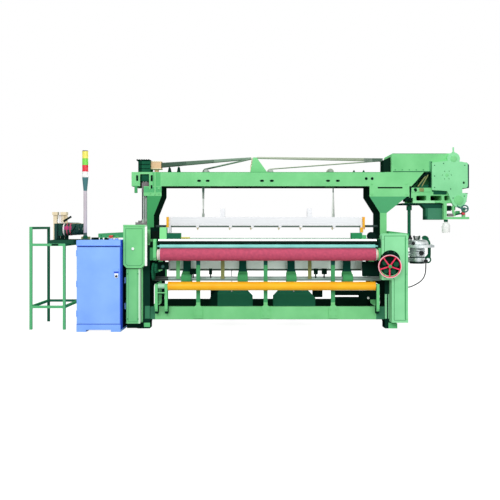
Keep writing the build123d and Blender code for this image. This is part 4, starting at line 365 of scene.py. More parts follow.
# The dark green that the roller brackets carry behind their front faces is painted shade
coloured("roller_brackets", mid_green, ("#12352A", (1100, -640, 817, 1152, -515, 905)),
    ("#74D088", (-1152, -640, 690, -1118, -560, 905), (1106, -640, 690, 1152, -560, 817),
    (-1200, -640, 90, -980, -575, 480), (980, -640, 90, 1200, -575, 480)),
    ("#12352A", (-1200, -574.5, 90, -960, -200, 690), (960, -574.5, 90, 1200, -200, 690)))
coloured("take_up_gearbox", black_green, ("#2E7A56", (1120, -660, 560, 1150, -600, 720)))
coloured("bottom_rails", light_green, ("#3F8060", (-1200, -600, 60, -1140, -400, 240),
    (1105, -600, 60, 1200, -400, 240)), (inner_shade, (-1200, 300, 0, 1200, 500, 300)))
# The left covers carry the painted highlight on their right side faces, and painted shade in the darker green
# of their grooves
coloured("left_upper_cover", light_green, (painted_side_highlight, (-1220.5, -649, 600, -1215, -500, 1060)),
    ("#4FA068", (-1415, -649.5, 600, -1239, -640, 1020)))
coloured("left_lower_cover", light_green, (painted_side_highlight, (-1287, -622, 60, -1272, -540, 612)),
    ("#4C9E66", (-1391, -622, 80, -1387, -618, 600), (-1302, -622, 80, -1298, -618, 600),
    (-1391, -622, 80, -1298, -618, 84)))
# The darker green on the right cover is painted shade in its grooves
coloured("right_cover", pale_green, ("#3F9259", (1150, -649.5, 70, 1380, -640, 950)))
# The mid green strip just left of the dobby plate is a painted shadow of the plate on the housing
coloured("dobby_housing", light_green, (inner_shade, (1200, -300, 1600, 1310.5, 200, 1800)),
    ("#4C9E66", (1311, -262, 1796, 1890, 145, 1803)), ("#66B57C", (1705, -262, 1606, 1740, -255, 1720)))
# The dark teal over the front of the case's right end, beside the plate, is painted shade
coloured("dobby_case", light_green, ("#1C4C44", (1946, -262, 1285, 2135, -236, 1795)),
    ("#2A6A52", (1500, -262, 1396, 1752, 145, 1610)), ("#14382F", (1425, -262, 1255, 1866, 145, 1278.5)),
    ("#A2E4AE", (1537, -262, 1278.5, 1846, -255, 1304)))
# The sump is painted darker towards its top and its left: painted shade under the case above it
coloured("oil_sump", mid_green, ("#468668", (1690, -245, 1100, 1880, 145, 1225)),
    ("#2E6A50", (1600, -242, 1100, 1700, 145, 1266)),
    ("#1C4C3C", (1600, -242, 1225, 1870, 145, 1266), (1600, -242, 1100, 1690, 145, 1140)))
coloured("clutch_housing", bare_casting, ("#22302E", (1490, -330, 640, 1710, -60, 664)),
    ("#3A4A4C", (1490, -330, 700, 1710, -60, 712)))
coloured("lift_pulleys", clamp_grey, ("#14382C", (-1075, -180, 1605, -910, -60, 1665)),
    ("#E8C49C", (-1240, -180, 1600, -1120, -60, 1730)))
coloured("undermotion_boxes", mid_green, ("#2A7054", (-700, -260, 100, 600, 10, 340)),
    ("#0C2A22", (-700, -260, 100, -520, 10, 340)))
coloured("temples", mid_green, ("#101915", (-1165, -550, 900, -1088.5, -465, 990)),
    ("#8BE298", (-1088.5, -550, 870, -1017.5, -465, 1030)),
    ("#216449", (-1017.5, -550, 870, -877.5, -465, 970)), ("#C9C46A", (-876, -550, 880, -780, -465, 960)),
    ("#2F8A58", (820, -550, 905, 953.5, -465, 970)), ("#58B070", (953.5, -550, 870, 995.5, -465, 950)),
    ("#0F241D", (1012, -550, 906, 1100, -465, 980)))
coloured("heald_guides", roller_orange, ("#3E5450", (-1200, -180, 1000, -1075, -60, 1200),
    (1050, -180, 1000, 1200, -60, 1200)))
# The near white over the lower part of each heald frame is painted light, which brightens it where the
# take-up roller shades it
for number, depth in enumerate(frame_depths, 1):
    coloured(f"heald_frame_{number}", rail_silver,
        ("#4A5C52", (-1030, depth - 3, 1018, 1010, depth + 3, 1043),
        (-1030, depth - 6, 556, 1010, depth + 6, 580)),
        ("#F0FFFA", (-1030, depth - 8, 580, 1010, depth + 8, 760)))
# The cabinet's right side face is painted shade: deep blue at its front edge and near black behind it
coloured("cabinet_body", cabinet_blue, ("#2F55E0", (-1880, -739, 834, -1440, -722, 841),
    (-1880, -742, 838, -1440, -738, 845), (-1880, -742, 73, -1440, -738, 80),
    (-1442.6, -745, 20, -1440, -350, 900)), ("#101C38", (-1442.6, -640, 20, -1440, -350, 900)))
coloured("cabinet_door", cabinet_blue, ("#3A60E6", (-1449, -742, 70, -1440, -700, 850)),
    ("#F2F6FF", (-1500, -755, 520, -1464, -741, 573)), ("#2B4CD0", (-1506, -755, 578, -1458, -741, 592)))


def make_piece(name, vertices, faces, material, body, smooth=False):
    """A mesh piece from arrays of vertices in metres and of faces, riding on one CAD body."""
    mesh = bpy.data.meshes.new(name)
    mesh.from_pydata(vertices.tolist(), [], faces)
    mesh.validate()
    mesh.materials.append(material)
    mesh.polygons.foreach_set("use_smooth", [smooth] * len(mesh.polygons))
    piece = bpy.data.objects.new(name, mesh)
    bpy.context.scene.collection.objects.link(piece)
    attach(piece, body)
    return piece


def grid_faces(rows, columns):
    """Quads of a grid of rows by columns, where each row closes on itself."""
    row = np.arange(rows - 1)[:, None]
    column = np.arange(columns)[None, :]
    here = row * columns + column
    beside = row * columns + (column + 1) % columns
    return np.stack([here, beside, beside + columns, here + columns], axis=-1).reshape(-1, 4)


def skin(rings):
    """A closed surface through rings of points, with a cap on the first ring and on the last."""
    rows, columns = rings.shape[:2]
    last = (rows - 1) * columns
    caps = [list(range(columns))[::-1], list(range(last, last + columns))]
    return rings.reshape(-1, 3), grid_faces(rows, columns).tolist() + caps


def lathe(profile, axis, base, sides=32, ripple=0.0, lobes=0):
    """A turned form: each (along, radius) of the profile goes once round the axis through the base point,
    and the radius may swell and sink by the ripple in a number of lobes, as on gears, knurls and fins."""
    profile = np.asarray(profile, float)
    turn = np.linspace(0, 2 * np.pi, sides, endpoint=False)
    along, across, upward = {"x": (0, 1, 2), "y": (1, 2, 0), "z": (2, 0, 1)}[axis]
    radius = profile[:, 1:] + ripple * np.tanh(3 * np.sin(lobes * turn)) * (profile[:, 1:] > 0)
    rings = np.zeros((len(profile), sides, 3))
    rings[..., along] = profile[:, :1]
    rings[..., across] = radius * np.cos(turn)
    rings[..., upward] = radius * np.sin(turn)
    return skin(rings + base)


def slab(left, front, bottom, right, rear, top, edge=2, corner=5):
    """A block with eased edges: a rounded rectangle that is drawn in by the edge at its foot and its top."""
    low, high = np.array([left, front, bottom], float), np.array([right, rear, top], float)
    middle, half = (low + high) / 2, (high - low) / 2
    corner = min(corner, half[0], half[1])
    edge = min(edge, corner, half[2])
    turn = (np.arange(24) + 0.5) / 24 * 2 * np.pi
    lean = np.stack([np.cos(turn), np.sin(turn)], axis=-1)
    rings = np.zeros((4, 24, 3))
    rings[..., :2] = np.sign(lean) * (half[:2] - corner) + corner * lean
    rings[[0, 3], :, :2] -= edge * lean
    rings[..., 2] = np.array([-half[2], edge - half[2], half[2] - edge, half[2]])[:, None]
    return skin(rings + middle)


def pipe(path, radius, sides=12, steps=10):
    """A round bar bent through the path's points: a smooth line whose square rings keep one radius."""
    path = np.asarray(path, float)
    if len(path) > 2:
        ends = np.concatenate([2 * path[:1] - path[1:2], path, 2 * path[-1:] - path[-2:-1]])
        share = np.linspace(0, 1, steps, endpoint=False)[:, None, None]
        p0, p1, p2, p3 = ends[:-3], ends[1:-2], ends[2:-1], ends[3:]
        curve = 0.5 * (2 * p1 + (p2 - p0) * share + (2 * p0 - 5 * p1 + 4 * p2 - p3) * share ** 2
                       + (3 * p1 - p0 - 3 * p2 + p3) * share ** 3)
        path = np.concatenate([curve.transpose(1, 0, 2).reshape(-1, 3), path[-1:]])
    heading = np.gradient(path, axis=0)
    heading /= np.linalg.norm(heading, axis=1, keepdims=True)
    guide = np.eye(3)[np.argmin(np.abs(heading).max(axis=0))]
    first = np.cross(heading, guide)
    first /= np.linalg.norm(first, axis=1, keepdims=True)
    second = np.cross(heading, first)
    turn = np.linspace(0, 2 * np.pi, sides, endpoint=False)[None, :, None]
    return skin(path[:, None] + radius * (first[:, None] * np.cos(turn) + second[:, None] * np.sin(turn)))


def circle(centre, radius, turn, axis):
    """Points at the given turns on a circle about an axis."""
    first, second = {"x": (1, 2), "y": (0, 2), "z": (0, 1)}[axis]
    points = np.tile(np.asarray(centre, float), (len(turn), 1))
    points[:, first] += radius * np.cos(turn)
    points[:, second] += radius * np.sin(turn)
    return points


def around(centre, radius, count, axis, start):
    """Points spaced evenly on a circle about an axis."""
    return circle(centre, radius, start + np.arange(count) / count * 2 * np.pi, axis).tolist()


def oval(place, width, height, depth):
    """A thin oval disc that faces the front: a turned disc stretched sideways."""
    points, faces = lathe([(0, height / 2), (-depth, height / 2)], "y", (0, 0, 0), 20)
    return points * (width / height, 1, 1) + place, faces


def joined(shapes):
    """Several (vertices, faces) shapes as one."""
    vertices, faces, start = [], [], 0
    for points, polygons in shapes:
        vertices.append(points)
        faces += [[i + start for i in polygon] for polygon in polygons]
        start += len(points)
    return np.concatenate(vertices), faces


def outward(piece):
    """Turns a closed mesh's faces outwards."""
    mesh = bmesh.new()
    mesh.from_mesh(piece.data)
    bmesh.ops.recalc_face_normals(mesh, faces=mesh.faces)
    mesh.to_mesh(piece.data)
    mesh.free()


smooth_below = math.radians(35)


def fitting(name, shapes, material, body="loom_frame", smooth=True):
    """One piece from several closed shapes in millimetres, shaded smooth between its sharp edges."""
    vertices, faces = joined(shapes)
    piece = make_piece(name, vertices * mm, faces, material, body, smooth)
    outward(piece)
    if smooth:
        picked = {"object": piece, "selected_objects": [piece], "selected_editable_objects": [piece]}
        with bpy.context.temp_override(**picked):
            bpy.ops.object.shade_smooth_by_angle(angle=smooth_below)
    return piece


def hex_bolt(place, axis, direction, across):
    """A hexagon head with a chamfered top, on a round washer, for a width across the head."""
    washer = [(0, across * 0.72), (direction * 1.5, across * 0.72)]
    head = [(direction * 1.5, across * 0.56), (direction * across * 0.42, across * 0.56),
            (direction * across * 0.5, across * 0.46)]
    return [lathe(washer, axis, place, 20), lathe(head, axis, place, 6)]


def bolts(name, places, axis, direction, material, body="loom_frame", across=16):
    """A set of hexagon bolts as one piece."""
    shapes = [shape for place in places for shape in hex_bolt(place, axis, direction, across)]
    return fitting(name, shapes, material, body, smooth=False)


# Cable from the clutch arm to the right cover, in millimetres: the same route as its tube in the CAD source
clutch_cable_route = (
    (1739, -8, 630), (1739, -8, 580), (1724, -46, 522), (1691, -98, 477), (1646, -158, 448),
    (1593, -226, 429), (1534, -302, 415), (1462, -400, 404), (1404, -400, 404),
)
clutch_cable_diameter = 12 * mm


def make_clutch_cable():
    """The cable as one NURBS curve with a round bevel."""
    curve = bpy.data.curves.new("clutch_cable_sheath", "CURVE")
    curve.dimensions = "3D"
    curve.resolution_u = 12
    curve.bevel_depth = clutch_cable_diameter / 2
    curve.bevel_resolution = 5
    curve.use_fill_caps = True
    route = np.array(clutch_cable_route) * mm
    spline = curve.splines.new("NURBS")
    spline.points.add(len(route) - 1)
    for point, place in zip(spline.points, route):
        point.co = (*place, 1)
    spline.order_u = 3
    spline.use_endpoint_u = True
    curve.materials.append(belt_rubber)
    piece = bpy.data.objects.new("clutch_cable_sheath", curve)
    bpy.context.scene.collection.objects.link(piece)
    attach(piece, "loom_frame")
    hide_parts("clutch_cable")


make_clutch_cable()

# Lift wires: one set for each heald frame, up to its pulleys; in the loom a set shortens as its frame rises,
# and here it is built at one length on the loom frame
wire_places = (-680.2, 713.2)
wire_radius = 3 * mm
wire_lay = 40 * mm
wire_rings, wire_sides = 121, 18
heald_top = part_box("lift_wires")[0].z
wire_length = wire_top - heald_top


def lift_wire(x, y, lean):
    """A twisted wire rope: its radius ripples with three strands along a slow helix, and it leans sideways
    towards its own groove in the pulley."""
    along = np.linspace(heald_top, wire_top, wire_rings)[:, None]
    share = (along - heald_top) / wire_length
    x = x + (lean * share if x < 0 else 1.4 * lean * (1 - share))
    turn = np.linspace(0, 2 * np.pi, wire_sides, endpoint=False)[None, :]
    radius = wire_radius * (0.93 + 0.07 * np.cos(3 * (turn - 2 * np.pi * along / wire_lay)))
    return skin(np.stack([x + radius * np.cos(turn), y + radius * np.sin(turn), along + 0 * turn], axis=-1))


wire_rope = zoned("lift wire rope", cable_steel, areas_of(
    ("#4A6C5E", (-760, -200, 1395, 790, -50, 1620)),
    ("#DCE2DC", (-760, -200, 1128, -600, -50, 1330), (600, -200, 1128, 790, -50, 1395))))
for number, depth in enumerate(frame_depths, 1):
    vertices, faces = joined([lift_wire(x * mm, depth * mm, (6 * number - 15 + 4 * rope) * mm)
                              for x in wire_places for rope in (-1, 0, 1)])
    wires = make_piece(f"lift_wires_{number}", vertices, faces, wire_rope, "loom_frame", smooth=True)
    outward(wires)
    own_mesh(wires)
    if number == 1:
        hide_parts("lift_wires")

# Arch and its legs
bolts("arch_leg_bolts", [(x, -260, z) for x in (-1232, -1136) for z in (1380, 1432)]
    + [(x, -260, z) for x in (1105, 1470) for z in (1372, 1480)], "y", -1, light_green, across=18)
bolts("arch_leg_bolts_rear", [(x, 140, z) for x in (-1232, -1136, 1105, 1470) for z in (1380, 1432)], "y", 1,
    light_green, across=18)
bolts("leg_foot_bolts", [(side * 1225, y, 850) for side in (-1, 1) for y in (-290, 170)], "z", 1,
    bright_zinc, across=24)
# Near black ovals over the slots in the arch front: painted shade inside the slots
fitting("arch_slot_shade", [oval((x, -261, 1513), 42, 24, 2) for x in (-714, -623, -52, 51, 643, 746)]
    + [oval((x, -261, 1536), 30, 30, 2) for x in (1045, 1107)], black_green)
# Near black plates over the openings at the arch's left end: painted shade in the openings
fitting("arch_end_opening_shade", [slab(-1223, -263, 1507, -1201, -259, 1571),
    slab(-1376, -263, 1512, -1354, -259, 1571), slab(-1223, -263, 1430, -1205, -259, 1467)], black_green)
fitting("arch_end_rib", [slab(-1186, -268, 1362, -1168, -259, 1602, 3, 4)], light_green)
fitting("arch_cable_posts", [lathe([(0, 17), (30, 6)], "z", (x, -125, 1605), 16) for x in (936, 1040)],
    dark_green)
rope_turn_radius = 35.2


def over_pulley(place, first, last):
    """Points (x, z) of a cable where it lies round a lift pulley, between two angles in degrees."""
    turn = np.radians(np.linspace(first, last, 12))
    return circle((place, 0, wire_top / mm), rope_turn_radius, turn, "y")[:, [0, 2]].tolist()


def arch_ropes(routes, radius):
    """The ropes of the four heald frames on routes given as (x, z) in millimetres."""
    return [pipe([(x, y, z) for x, z in route], radius, 8, 1) for route in routes for y in frame_depths]


left_rope = zoned("arch cables, paler beyond the supports", dark_cable, areas_of(
    ("#56705E", (-860, -180, 1600, -560, -70, 1790)), ("#7A9480", (-560, -180, 1600, -100, -70, 1790))))
# The pale grey-green along most of the right cables is painted light, which offsets the shade that the ropes
# cast on one another
right_rope = zoned("arch cables, darker at the hood", cable_steel, areas_of(
    ("#B2BCA8", (-120, -180, 1600, 1040, -70, 1790)), ("#5E7868", (1130, -180, 1700, 1250, -70, 1790))))
fitting("arch_cables_left", arch_ropes([[(-1130, 1668 + 8 * i), (-165, 1757 + 2 * i)] for i in range(6)], 4.5)
    + arch_ropes([over_pulley(-646, 180, 103) + [(-165, 1757)]], 6), left_rope)
pulley_route = (over_pulley(679, 0, 170) + [(630, 1585), (100, 1585)] + over_pulley(41, 320, 94.4)
                + [(1240, 1737)])
right_cables = fitting("arch_cables_right", arch_ropes(
    [[(-105, 1764 + 4 * i), (1240, 1733 + 12 * i)] for i in range(3)], 3.8)
    + arch_ropes([pulley_route], 4), right_rope)
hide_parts("harness_cables")
fitting("fin_eyelets", [lathe([(0, 7), (10, 7)], "x", (-168 + 2 * i, y, 1700 + 20 * i), 12) for i in range(4)
    for y in frame_depths] + [slab(-176, -178, 1620, -166, -72, 1690)], cream_enamel)
fitting("corner_block_cap", [slab(-1238, -178, 1716, -1122, -72, 1728),
    slab(-1238, -178, 1642, -1122, -72, 1652)], cream_enamel)
fitting("yoke_tab", [slab(-1395, -262, 1385, -1365, -236, 1460)], mid_green)
fitting("spring_head", [slab(-1326, -216, 1392, -1240, -34, 1500)], mauve_casting)
fitting("spring_bank_ribs", [slab(-1352, -236, z, -1236, -14, z + 5) for z in (1640, 1685)]
    + [slab(-1378 + 24 * i, -236, 1728, -1362 + 24 * i, -14, 1742) for i in range(6)], black_green)
fitting("tube_foot_clamps", [lathe([(0, 19), (24, 19), (30, 15)], "z", (x, y, 1079), 6)
    for x in (-1312, -1280) for y in (-200, -150, -100, -50)], clamp_grey)
fitting("tube_foot_bracket", [slab(-1386, -235, 1052, -1264, -15, 1070),
    slab(-1360, -238, 1072, -1326, -190, 1094), slab(-1300, -238, 1062, -1268, -190, 1084)], mauve_casting)

# Lift pulleys and wires
fitting("pulley_hubs", [lathe([(-100, 16), (100, 16)], "y", (x, -125, 1612), 16) for x in (-646, 41, 679)],
    clamp_grey)
for number, depth in enumerate(frame_depths, 1):
    fitting(f"wire_clamps_{number}", [slab(x - 11, depth - 4.5, 1128, x + 11, depth + 4.5, 1172)
        for x in wire_places] + [lathe([(0, 5), (46, 5), (50, 3.2)], "z", (x, depth, 1170), 12)
        for x in wire_places], clamp_grey, f"heald_{number}")
    fitting(f"heald_rail_ends_{number}", [slab(x - 20, depth - 5.5, 1046, x + 20, depth + 5.5, 1131)
        for x in (-1018, 994)], rail_silver, f"heald_{number}")

# Dobby
bolts("dobby_plate_bolts", [(x, -290, z) for x, z in ((1756, 1440), (1756, 1560), (1756, 1672), (1850, 1692),
    (2072, 1672), (1925, 1425), (2068, 1350), (1950, 1330))], "y", -1, dark_green, across=8)
fitting("dobby_plate_caps", [lathe([(0, 48), (-5, 48), (-7, 45)], "y", (2010, -290, 1308), 40),
    lathe([(0, 34), (-4, 34), (-6, 31)], "y", (1956, -290, 1742), 36)], light_green)
fitting("plate_bearing_cap", [lathe([(0, 16), (-3, 16), (-4, 14)], "y", (1885, -290, 1571), 24)], light_green)
# The flat dark strip is the seam where the housing meets the arch: a joint, with painted shade in it; the
# upright strip runs along the dobby plate's left edge
fitting("dobby_seam", [slab(1325, -263, 1606, 1735, -259, 1613, 1, 1),
    slab(1725, -266, 1400, 1733, -258, 1715, 2, 2)], dark_green)
bolts("dobby_housing_bolts", [(x, -260, 1628) for x in range(1350, 1721, 74)], "y", -1, mid_green, across=9)
fitting("jack_box_back", [slab(1540, 92, 1284, 1940, 104, 1392)], black_green)
fitting("jack_backing", [slab(1502, -120, 1393, 1742, -108, 1604)], mid_green)
fitting("jack_edges", [pipe([(1588 + 40 * i, -264, 1452), (1668 + 26 * i, -264, 1560 + 14 * i)], 6, 8)
    for i in range(2)], olive_enamel)
fitting("jack_strip", [pipe([(1512, -250, 1440), (1610, -250, 1540), (1706, -250, 1600)], 12, 8, 1)],
    black_green)
# The wide dark slab below the dobby plate is a painted shadow on the case front; the smaller one is a lump on
# it
fitting("case_front_shadow_and_lump", [slab(1752, -266, 1368, 1890, -258, 1408, 3, 6),
    slab(1610, -266, 1440, 1700, -256, 1470, 3, 6)], dark_green)
fitting("jack_rail", [slab(1520, -268, 1393, 1738, -240, 1440, 4, 6)], light_green)
# A near black oval over the hole in the jack rail: painted shade in the hole
fitting("jack_rail_hole_shade", [oval((1563, -268, 1412), 26, 30, 2)], black_green)
fitting("jack_rail_lump", [slab(1602, -274, 1398, 1650, -262, 1436, 4, 8)], olive_enamel)
fitting("case_arm_block", [slab(1500, -262, 1300, 1519, -230, 1452),
    slab(1460, -238, 1296, 1532, -120, 1344, 6, 12)], black_green)
fitting("drain_elbow", [pipe([(1770, -262, 1291), (1832, -264, 1290), (1858, -270, 1276), (1866, -288, 1236),
    (1866, -290, 1190)], 13)], light_green)
fitting("drain_motor", [slab(1898, -275, 1137, 1968, -236, 1168, 5, 10)], mauve_casting)
fitting("drain_box", [slab(1896, -272, 1196, 1936, -240, 1252)], black_green)
fitting("drain_pipe", [pipe([(1962, -262, 1252), (1958, -262, 1205), (1972, -265, 1140)], 14)], light_green)
fitting("drain_tube", [pipe([(1985, -280, 1264), (2008, -290, 1234), (2052, -310, 1216)], 8)], wheel_teal)
fitting("drain_fittings", [slab(1940, -262, 1205, 1985, -240, 1245, 4, 8),
    slab(1985, -262, 1160, 2032, -240, 1196, 4, 8)], mid_green)
fitting("jack_shaft", [lathe([(-12, 14), (0, 18)], "y", (1560, -262, 1420), 20),
    lathe([(-6, 26), (0, 26)], "y", (1560, -258, 1420), 24)], black_green)
fitting("drain_knob", [lathe([(0, 6), (-6, 17), (-16, 17), (-22, 10)], "y", (2050, -300, 1168), 24)],
    knob_red)
fitting("drain_valve", [pipe([(2050, -285, 1125), (2050, -285, 1172)], 9),
    lathe([(-20, 15), (10, 15)], "y", (2050, -285, 1168), 20),
    pipe([(1965, -250, 1150), (2000, -268, 1160), (2040, -282, 1168)], 8)], dark_green)
fitting("bottle_cap", [lathe([(0, 21), (22, 21), (24, 19)], "z", (1880, -270, 1081), 40, 0.7, 20)],
    dark_green)
fitting("lifting_eye", [lathe([(0, 15), (7, 15)], "z", (1956, -275, 1806), 6)], light_green)

# Clutch and the upright shaft
bolts("clutch_disc_bolts", around((1595, -200, 838), 152, 10, "z", 0.2), "z", 1, bright_zinc, across=14)
bolts("clutch_band_bolts", [(1595 + 74 * math.sin(a), -200 - 84 * math.cos(a), 690) for a in (-0.5, 0.5)],
    "y", -1, bright_zinc, across=14)
fitting("clutch_stud_caps", [pipe([(x + 5 * side, -200, 882), (x, -200, 905), (x - 6 * side, -200, 934)], 9)
    for x, side in ((1566, 1), (1616, -1))], belt_rubber)
fitting("clutch_spring", [pipe([(1595 + 33 * math.cos(a / 2), -200 + 33 * math.sin(a / 2), 888 + 1.1 * a)
    for a in range(40)], 3, 8, 3)], dark_cable)
fitting("shaft_boot", [lathe([(0, 34), (14, 34), (22, 24), (40, 22)], "z", (1520, -160, 897), 28)],
    belt_rubber)
fitting("clutch_fins", [lathe([(z, 79), (z + 7, 84), (z + 14, 79)], "z", (1595, -200, 0), 48)
    for z in (712, 736, 760, 784)], bare_casting)
fitting("clutch_plug", [lathe([(0, 24), (-20, 24), (-24, 20)], "y", (1620, -276, 752), 20),
    lathe([(0, 17), (-14, 17), (-18, 13)], "y", (1534, -290, 856), 20),
    lathe([(0, 20), (-16, 20), (-20, 15)], "y", (1668, -270, 668), 20)], belt_rubber)
fitting("lever_grip", [pipe([(1690, -58, 902), (1706, -58, 918), (1732, -58, 914), (1748, -58, 890)], 14)],
    dark_green, "lever")

# Take-up end, hand wheel and covers
fitting("wheel_cap", [lathe([(0, 17), (-8, 16), (-13, 9)], "y", (1202, -715, 639), 24)], mid_green,
    "hand_wheel")
# A thin pale pink ring on the hand wheel's rim: a painted highlight
rim = circle((1202, -708, 639), 112, np.linspace(0, 2 * np.pi, 73), "y")
fitting("wheel_rim_highlight", [pipe(rim, 3.5, 8, 1)], rim_pink, "hand_wheel")
fitting("wheel_well", [lathe([(0, 104), (-3, 104), (-4, 103)], "y", (1215, -650, 650), 64)], black_green)
fitting("wheel_well_gears", [lathe([(0, 26), (-4, 26)], "y",
    (1215 + 62 * math.cos(a), -653, 640 + 62 * math.sin(a)), 24, 2, 14) for a in (0.3, 2.6, 4.0, 5.2)],
    dark_green)
bolts("gearbox_bolts", around((1218, -650, 700), 84, 8, "y", 0.3), "y", -1, dark_green, across=11)
fitting("take_up_train", [lathe([(-10, 84), (10, 84)], "x", (-1160, -470, 575), 144, 4, 24),
    lathe([(-10, 44), (12, 44)], "x", (-1132, -498, 606), 84, 4, 14),
    lathe([(-50, 12), (30, 12)], "x", (-1140, -470, 575), 20)], dark_green)
bolts("right_cover_bolts", [(x, -650, z) for x in (1147, 1381) for z in (560, 905)] + [(1381, -650, 110)],
    "y", -1, light_green, across=9)
fitting("right_cover_bead", [slab(1361, -653, 112, 1371, -649, 925)], mid_green)
fitting("temple_bracket", [slab(-1192, -480, 905, -1102, -300, 1024)], black_green)
# A white strip along the left upper cover's right edge: a painted highlight, in the white knob plastic
fitting("left_cover_edge_highlight", [slab(-1222, -650, 640, -1198, -632, 1030)], knob_white)
fitting("left_cover_knob", [lathe([(0, 9), (-5, 14), (-11, 14), (-15, 9)], "y", (-1337, -650, 811), 24)],
    knob_white)
bolts("left_cover_bolts", [(x, -620, z) for x in (-1396, -1292) for z in (110, 560)], "y", -1, mid_green,
    across=9)
fitting("lower_cover_base", [slab(-1408, -600, 16, -1262, -520, 63)], black_green)
fitting("roller_bearing_caps", [lathe([(0, 36), (-8, 36), (-11, 30)], "x", (-1112, -560, 750), 32)],
    dark_green)
fitting("take_up_end_rings", [lathe([(0, 62.5), (3, 63.5), (8, 62.5)], "x", (side * 1084, -560, 750), 48)
    for side in (-1, 1)], bright_zinc, "take_up")
fitting("cloth_roller_rings", [lathe([(0, 45), (6, 45.5), (12, 45)], "x", (x, -560, 433), 40)
    for x in (-996, 1070)], roller_orange, "cloth_beam")
bolts("anchor_nuts", [(side * 1290, y, 50) for side in (-1, 1) for y in (-450, 450)], "z", 1, bright_zinc,
    across=30)
bolts("lower_cover_feet", [(x, -560, 64) for x in (-1390, -1345, -1300)], "z", -1, black_green, across=40)

# Sley
bolts("race_board_bolts", [(x, -345, 812) for x in range(-980, 981, 140)], "y", -1, bright_zinc, "sley", 11)
bolts("sword_bolts", [(x + dx, -335, 488 + dz) for x in (-840, -254, 254, 840) for dx in (-38, 38)
    for dz in (-30, 30)], "y", -1, bright_zinc, "sley", 14)
fitting("sley_arms", [slab(-945, -352, 488, -905, -340, 800)], light_green, "sley")
fitting("sley_olive_arm", [slab(x, -352, 488, x + 38, -340, 800) for x in (-480, 424)], olive_enamel, "sley")
stops = ((-802, 66), (-604, 34), (484, 44), (566, 56))
fitting("sley_stops", [slab(x, -356, 535, x + width, -344, 596) for x, width in stops]
    + [pipe([(x + width / 2, -350, 560), (x + width / 2, -325, 494)], 7) for x, width in stops], black_green,
    "sley")
fitting("let_off_blocks", [slab(-1176, -430, 590, -1014, -400, 668, 4, 8),
    slab(975, -430, 522, 1176, -400, 672, 4, 8)], black_green)
fitting("let_off_stud", [lathe([(0, 17), (-8, 17), (-12, 12)], "y", (-1072, -430, 622), 24)], wheel_teal)
fitting("cloth_roller_stay", [slab(-1104, -606, 364, -1016, -596, 374)], light_green)
fitting("heald_hooks", [lathe([(0, 3), (26, 12)], "z", (x, -168, 994), 12)
    for x in (-736, -396, -170, 128, 357, 698)], cream_enamel, "heald_1")
fitting("guide_feet", [slab(998, -165, 968, 1030, -145, 1022), slab(1034, -165, 1000, 1048, -145, 1030)],
    roller_orange)

# Struts and rails
bolts("strut_bolts", [(x + dx, -512, z) for x in (-704, -18, 668) for dx in (-26, 26) for z in (128, 190)],
    "y", -1, light_green, across=14)
bolts("rail_end_bolts", [(side * 1262, y, z) for side in (-1, 1) for y in (-470, 410) for z in (115, 165)],
    "x", 1, light_green, across=18)
fitting("undermotion_brackets", [slab(-612, 20, 244, -500, 40, 335), slab(500, -30, 262, 610, 0, 334),
    slab(734, -20, 282, 1190, 20, 331), slab(734, -20, 236, 1190, 20, 262),
    slab(1008, -20, 258, 1190, 20, 286)], black_green)
fitting("bracket_plug", [lathe([(0, 13), (-4, 13), (-6, 10)], "y", (1108, -20, 252), 20)], knob_white)

# Motor: cooling fins, fan cowl, terminal box
fitting("motor_fins", [lathe([(0, 95), (150, 95)], "x", (1386, 400, 300), 320, 5, 40)], mid_green)
fitting("motor_cowl", [lathe([(0, 96), (30, 99), (44, 94), (48, 70)], "x", (1544, 400, 300), 56)], mid_green)
fitting("motor_terminal_box", [slab(1430, 345, 385, 1520, 455, 432, 5, 8)], mid_green)
fitting("pulley_bolts", [lathe([(0, 26), (10, 26), (13, 22)], "x", (1343, -200, 745), 28)], bright_zinc,
    "main_shaft")

# Cabinet
fitting("door_hinges", [lathe([(0, 6), (60, 6)], "z", (-1872, -742, z), 16) for z in (150, 440, 740)],
    cabinet_blue)
fitting("door_handle", [slab(-1497, -750, 590, -1466, -741, 604, 3, 4)], deep_blue, "door")
fitting("door_lock", [lathe([(0, 15), (-6, 15), (-8, 12)], "y", (-1482, -742, 545), 28)], knob_white, "door")
louvred = zoned("cabinet blue with a shaded side", cabinet_blue, areas_of(
    ("#101C38", (-1450, -660, 20, -1430, -350, 900))))
fitting("cabinet_louvres", [slab(-1877, -640, z, -1872, -460, z + 8, 2, 2) for z in range(150, 330, 18)]
    + [slab(-1446, -640, z, -1440, -460, z + 8, 2, 2) for z in range(620, 800, 18)], louvred)
fitting("terminal_plate", [slab(-1876, -560, 896, -1790, -520, 930, 3)], olive_enamel)
fitting("cabinet_top_block", [slab(-1775, -560, 896, -1704, -520, 922, 4, 8),
    slab(-1640, -560, 896, -1600, -520, 916, 4, 8)], black_green)
fitting("cabinet_top_glands", [lathe([(0, 16), (14, 16), (20, 10)], "z", (x, -440, 898), 6)
    for x in (-1745, -1700, -1655)], dark_green)
fitting("stop_button_ring", [lathe([(0, 27), (4, 27), (6, 24)], "z", (-1555, -650, 914), 36)], brass)
fitting("start_button_ring", [lathe([(0, 22), (4, 22), (6, 19)], "z", (-1500, -650, 914), 36)], cream_enamel)
fitting("lamp_collar", [lathe([(0, 22), (30, 22), (36, 18.5)], "z", (-1823, -600, 905), 40, 0.8, 18)],
    dark_green)

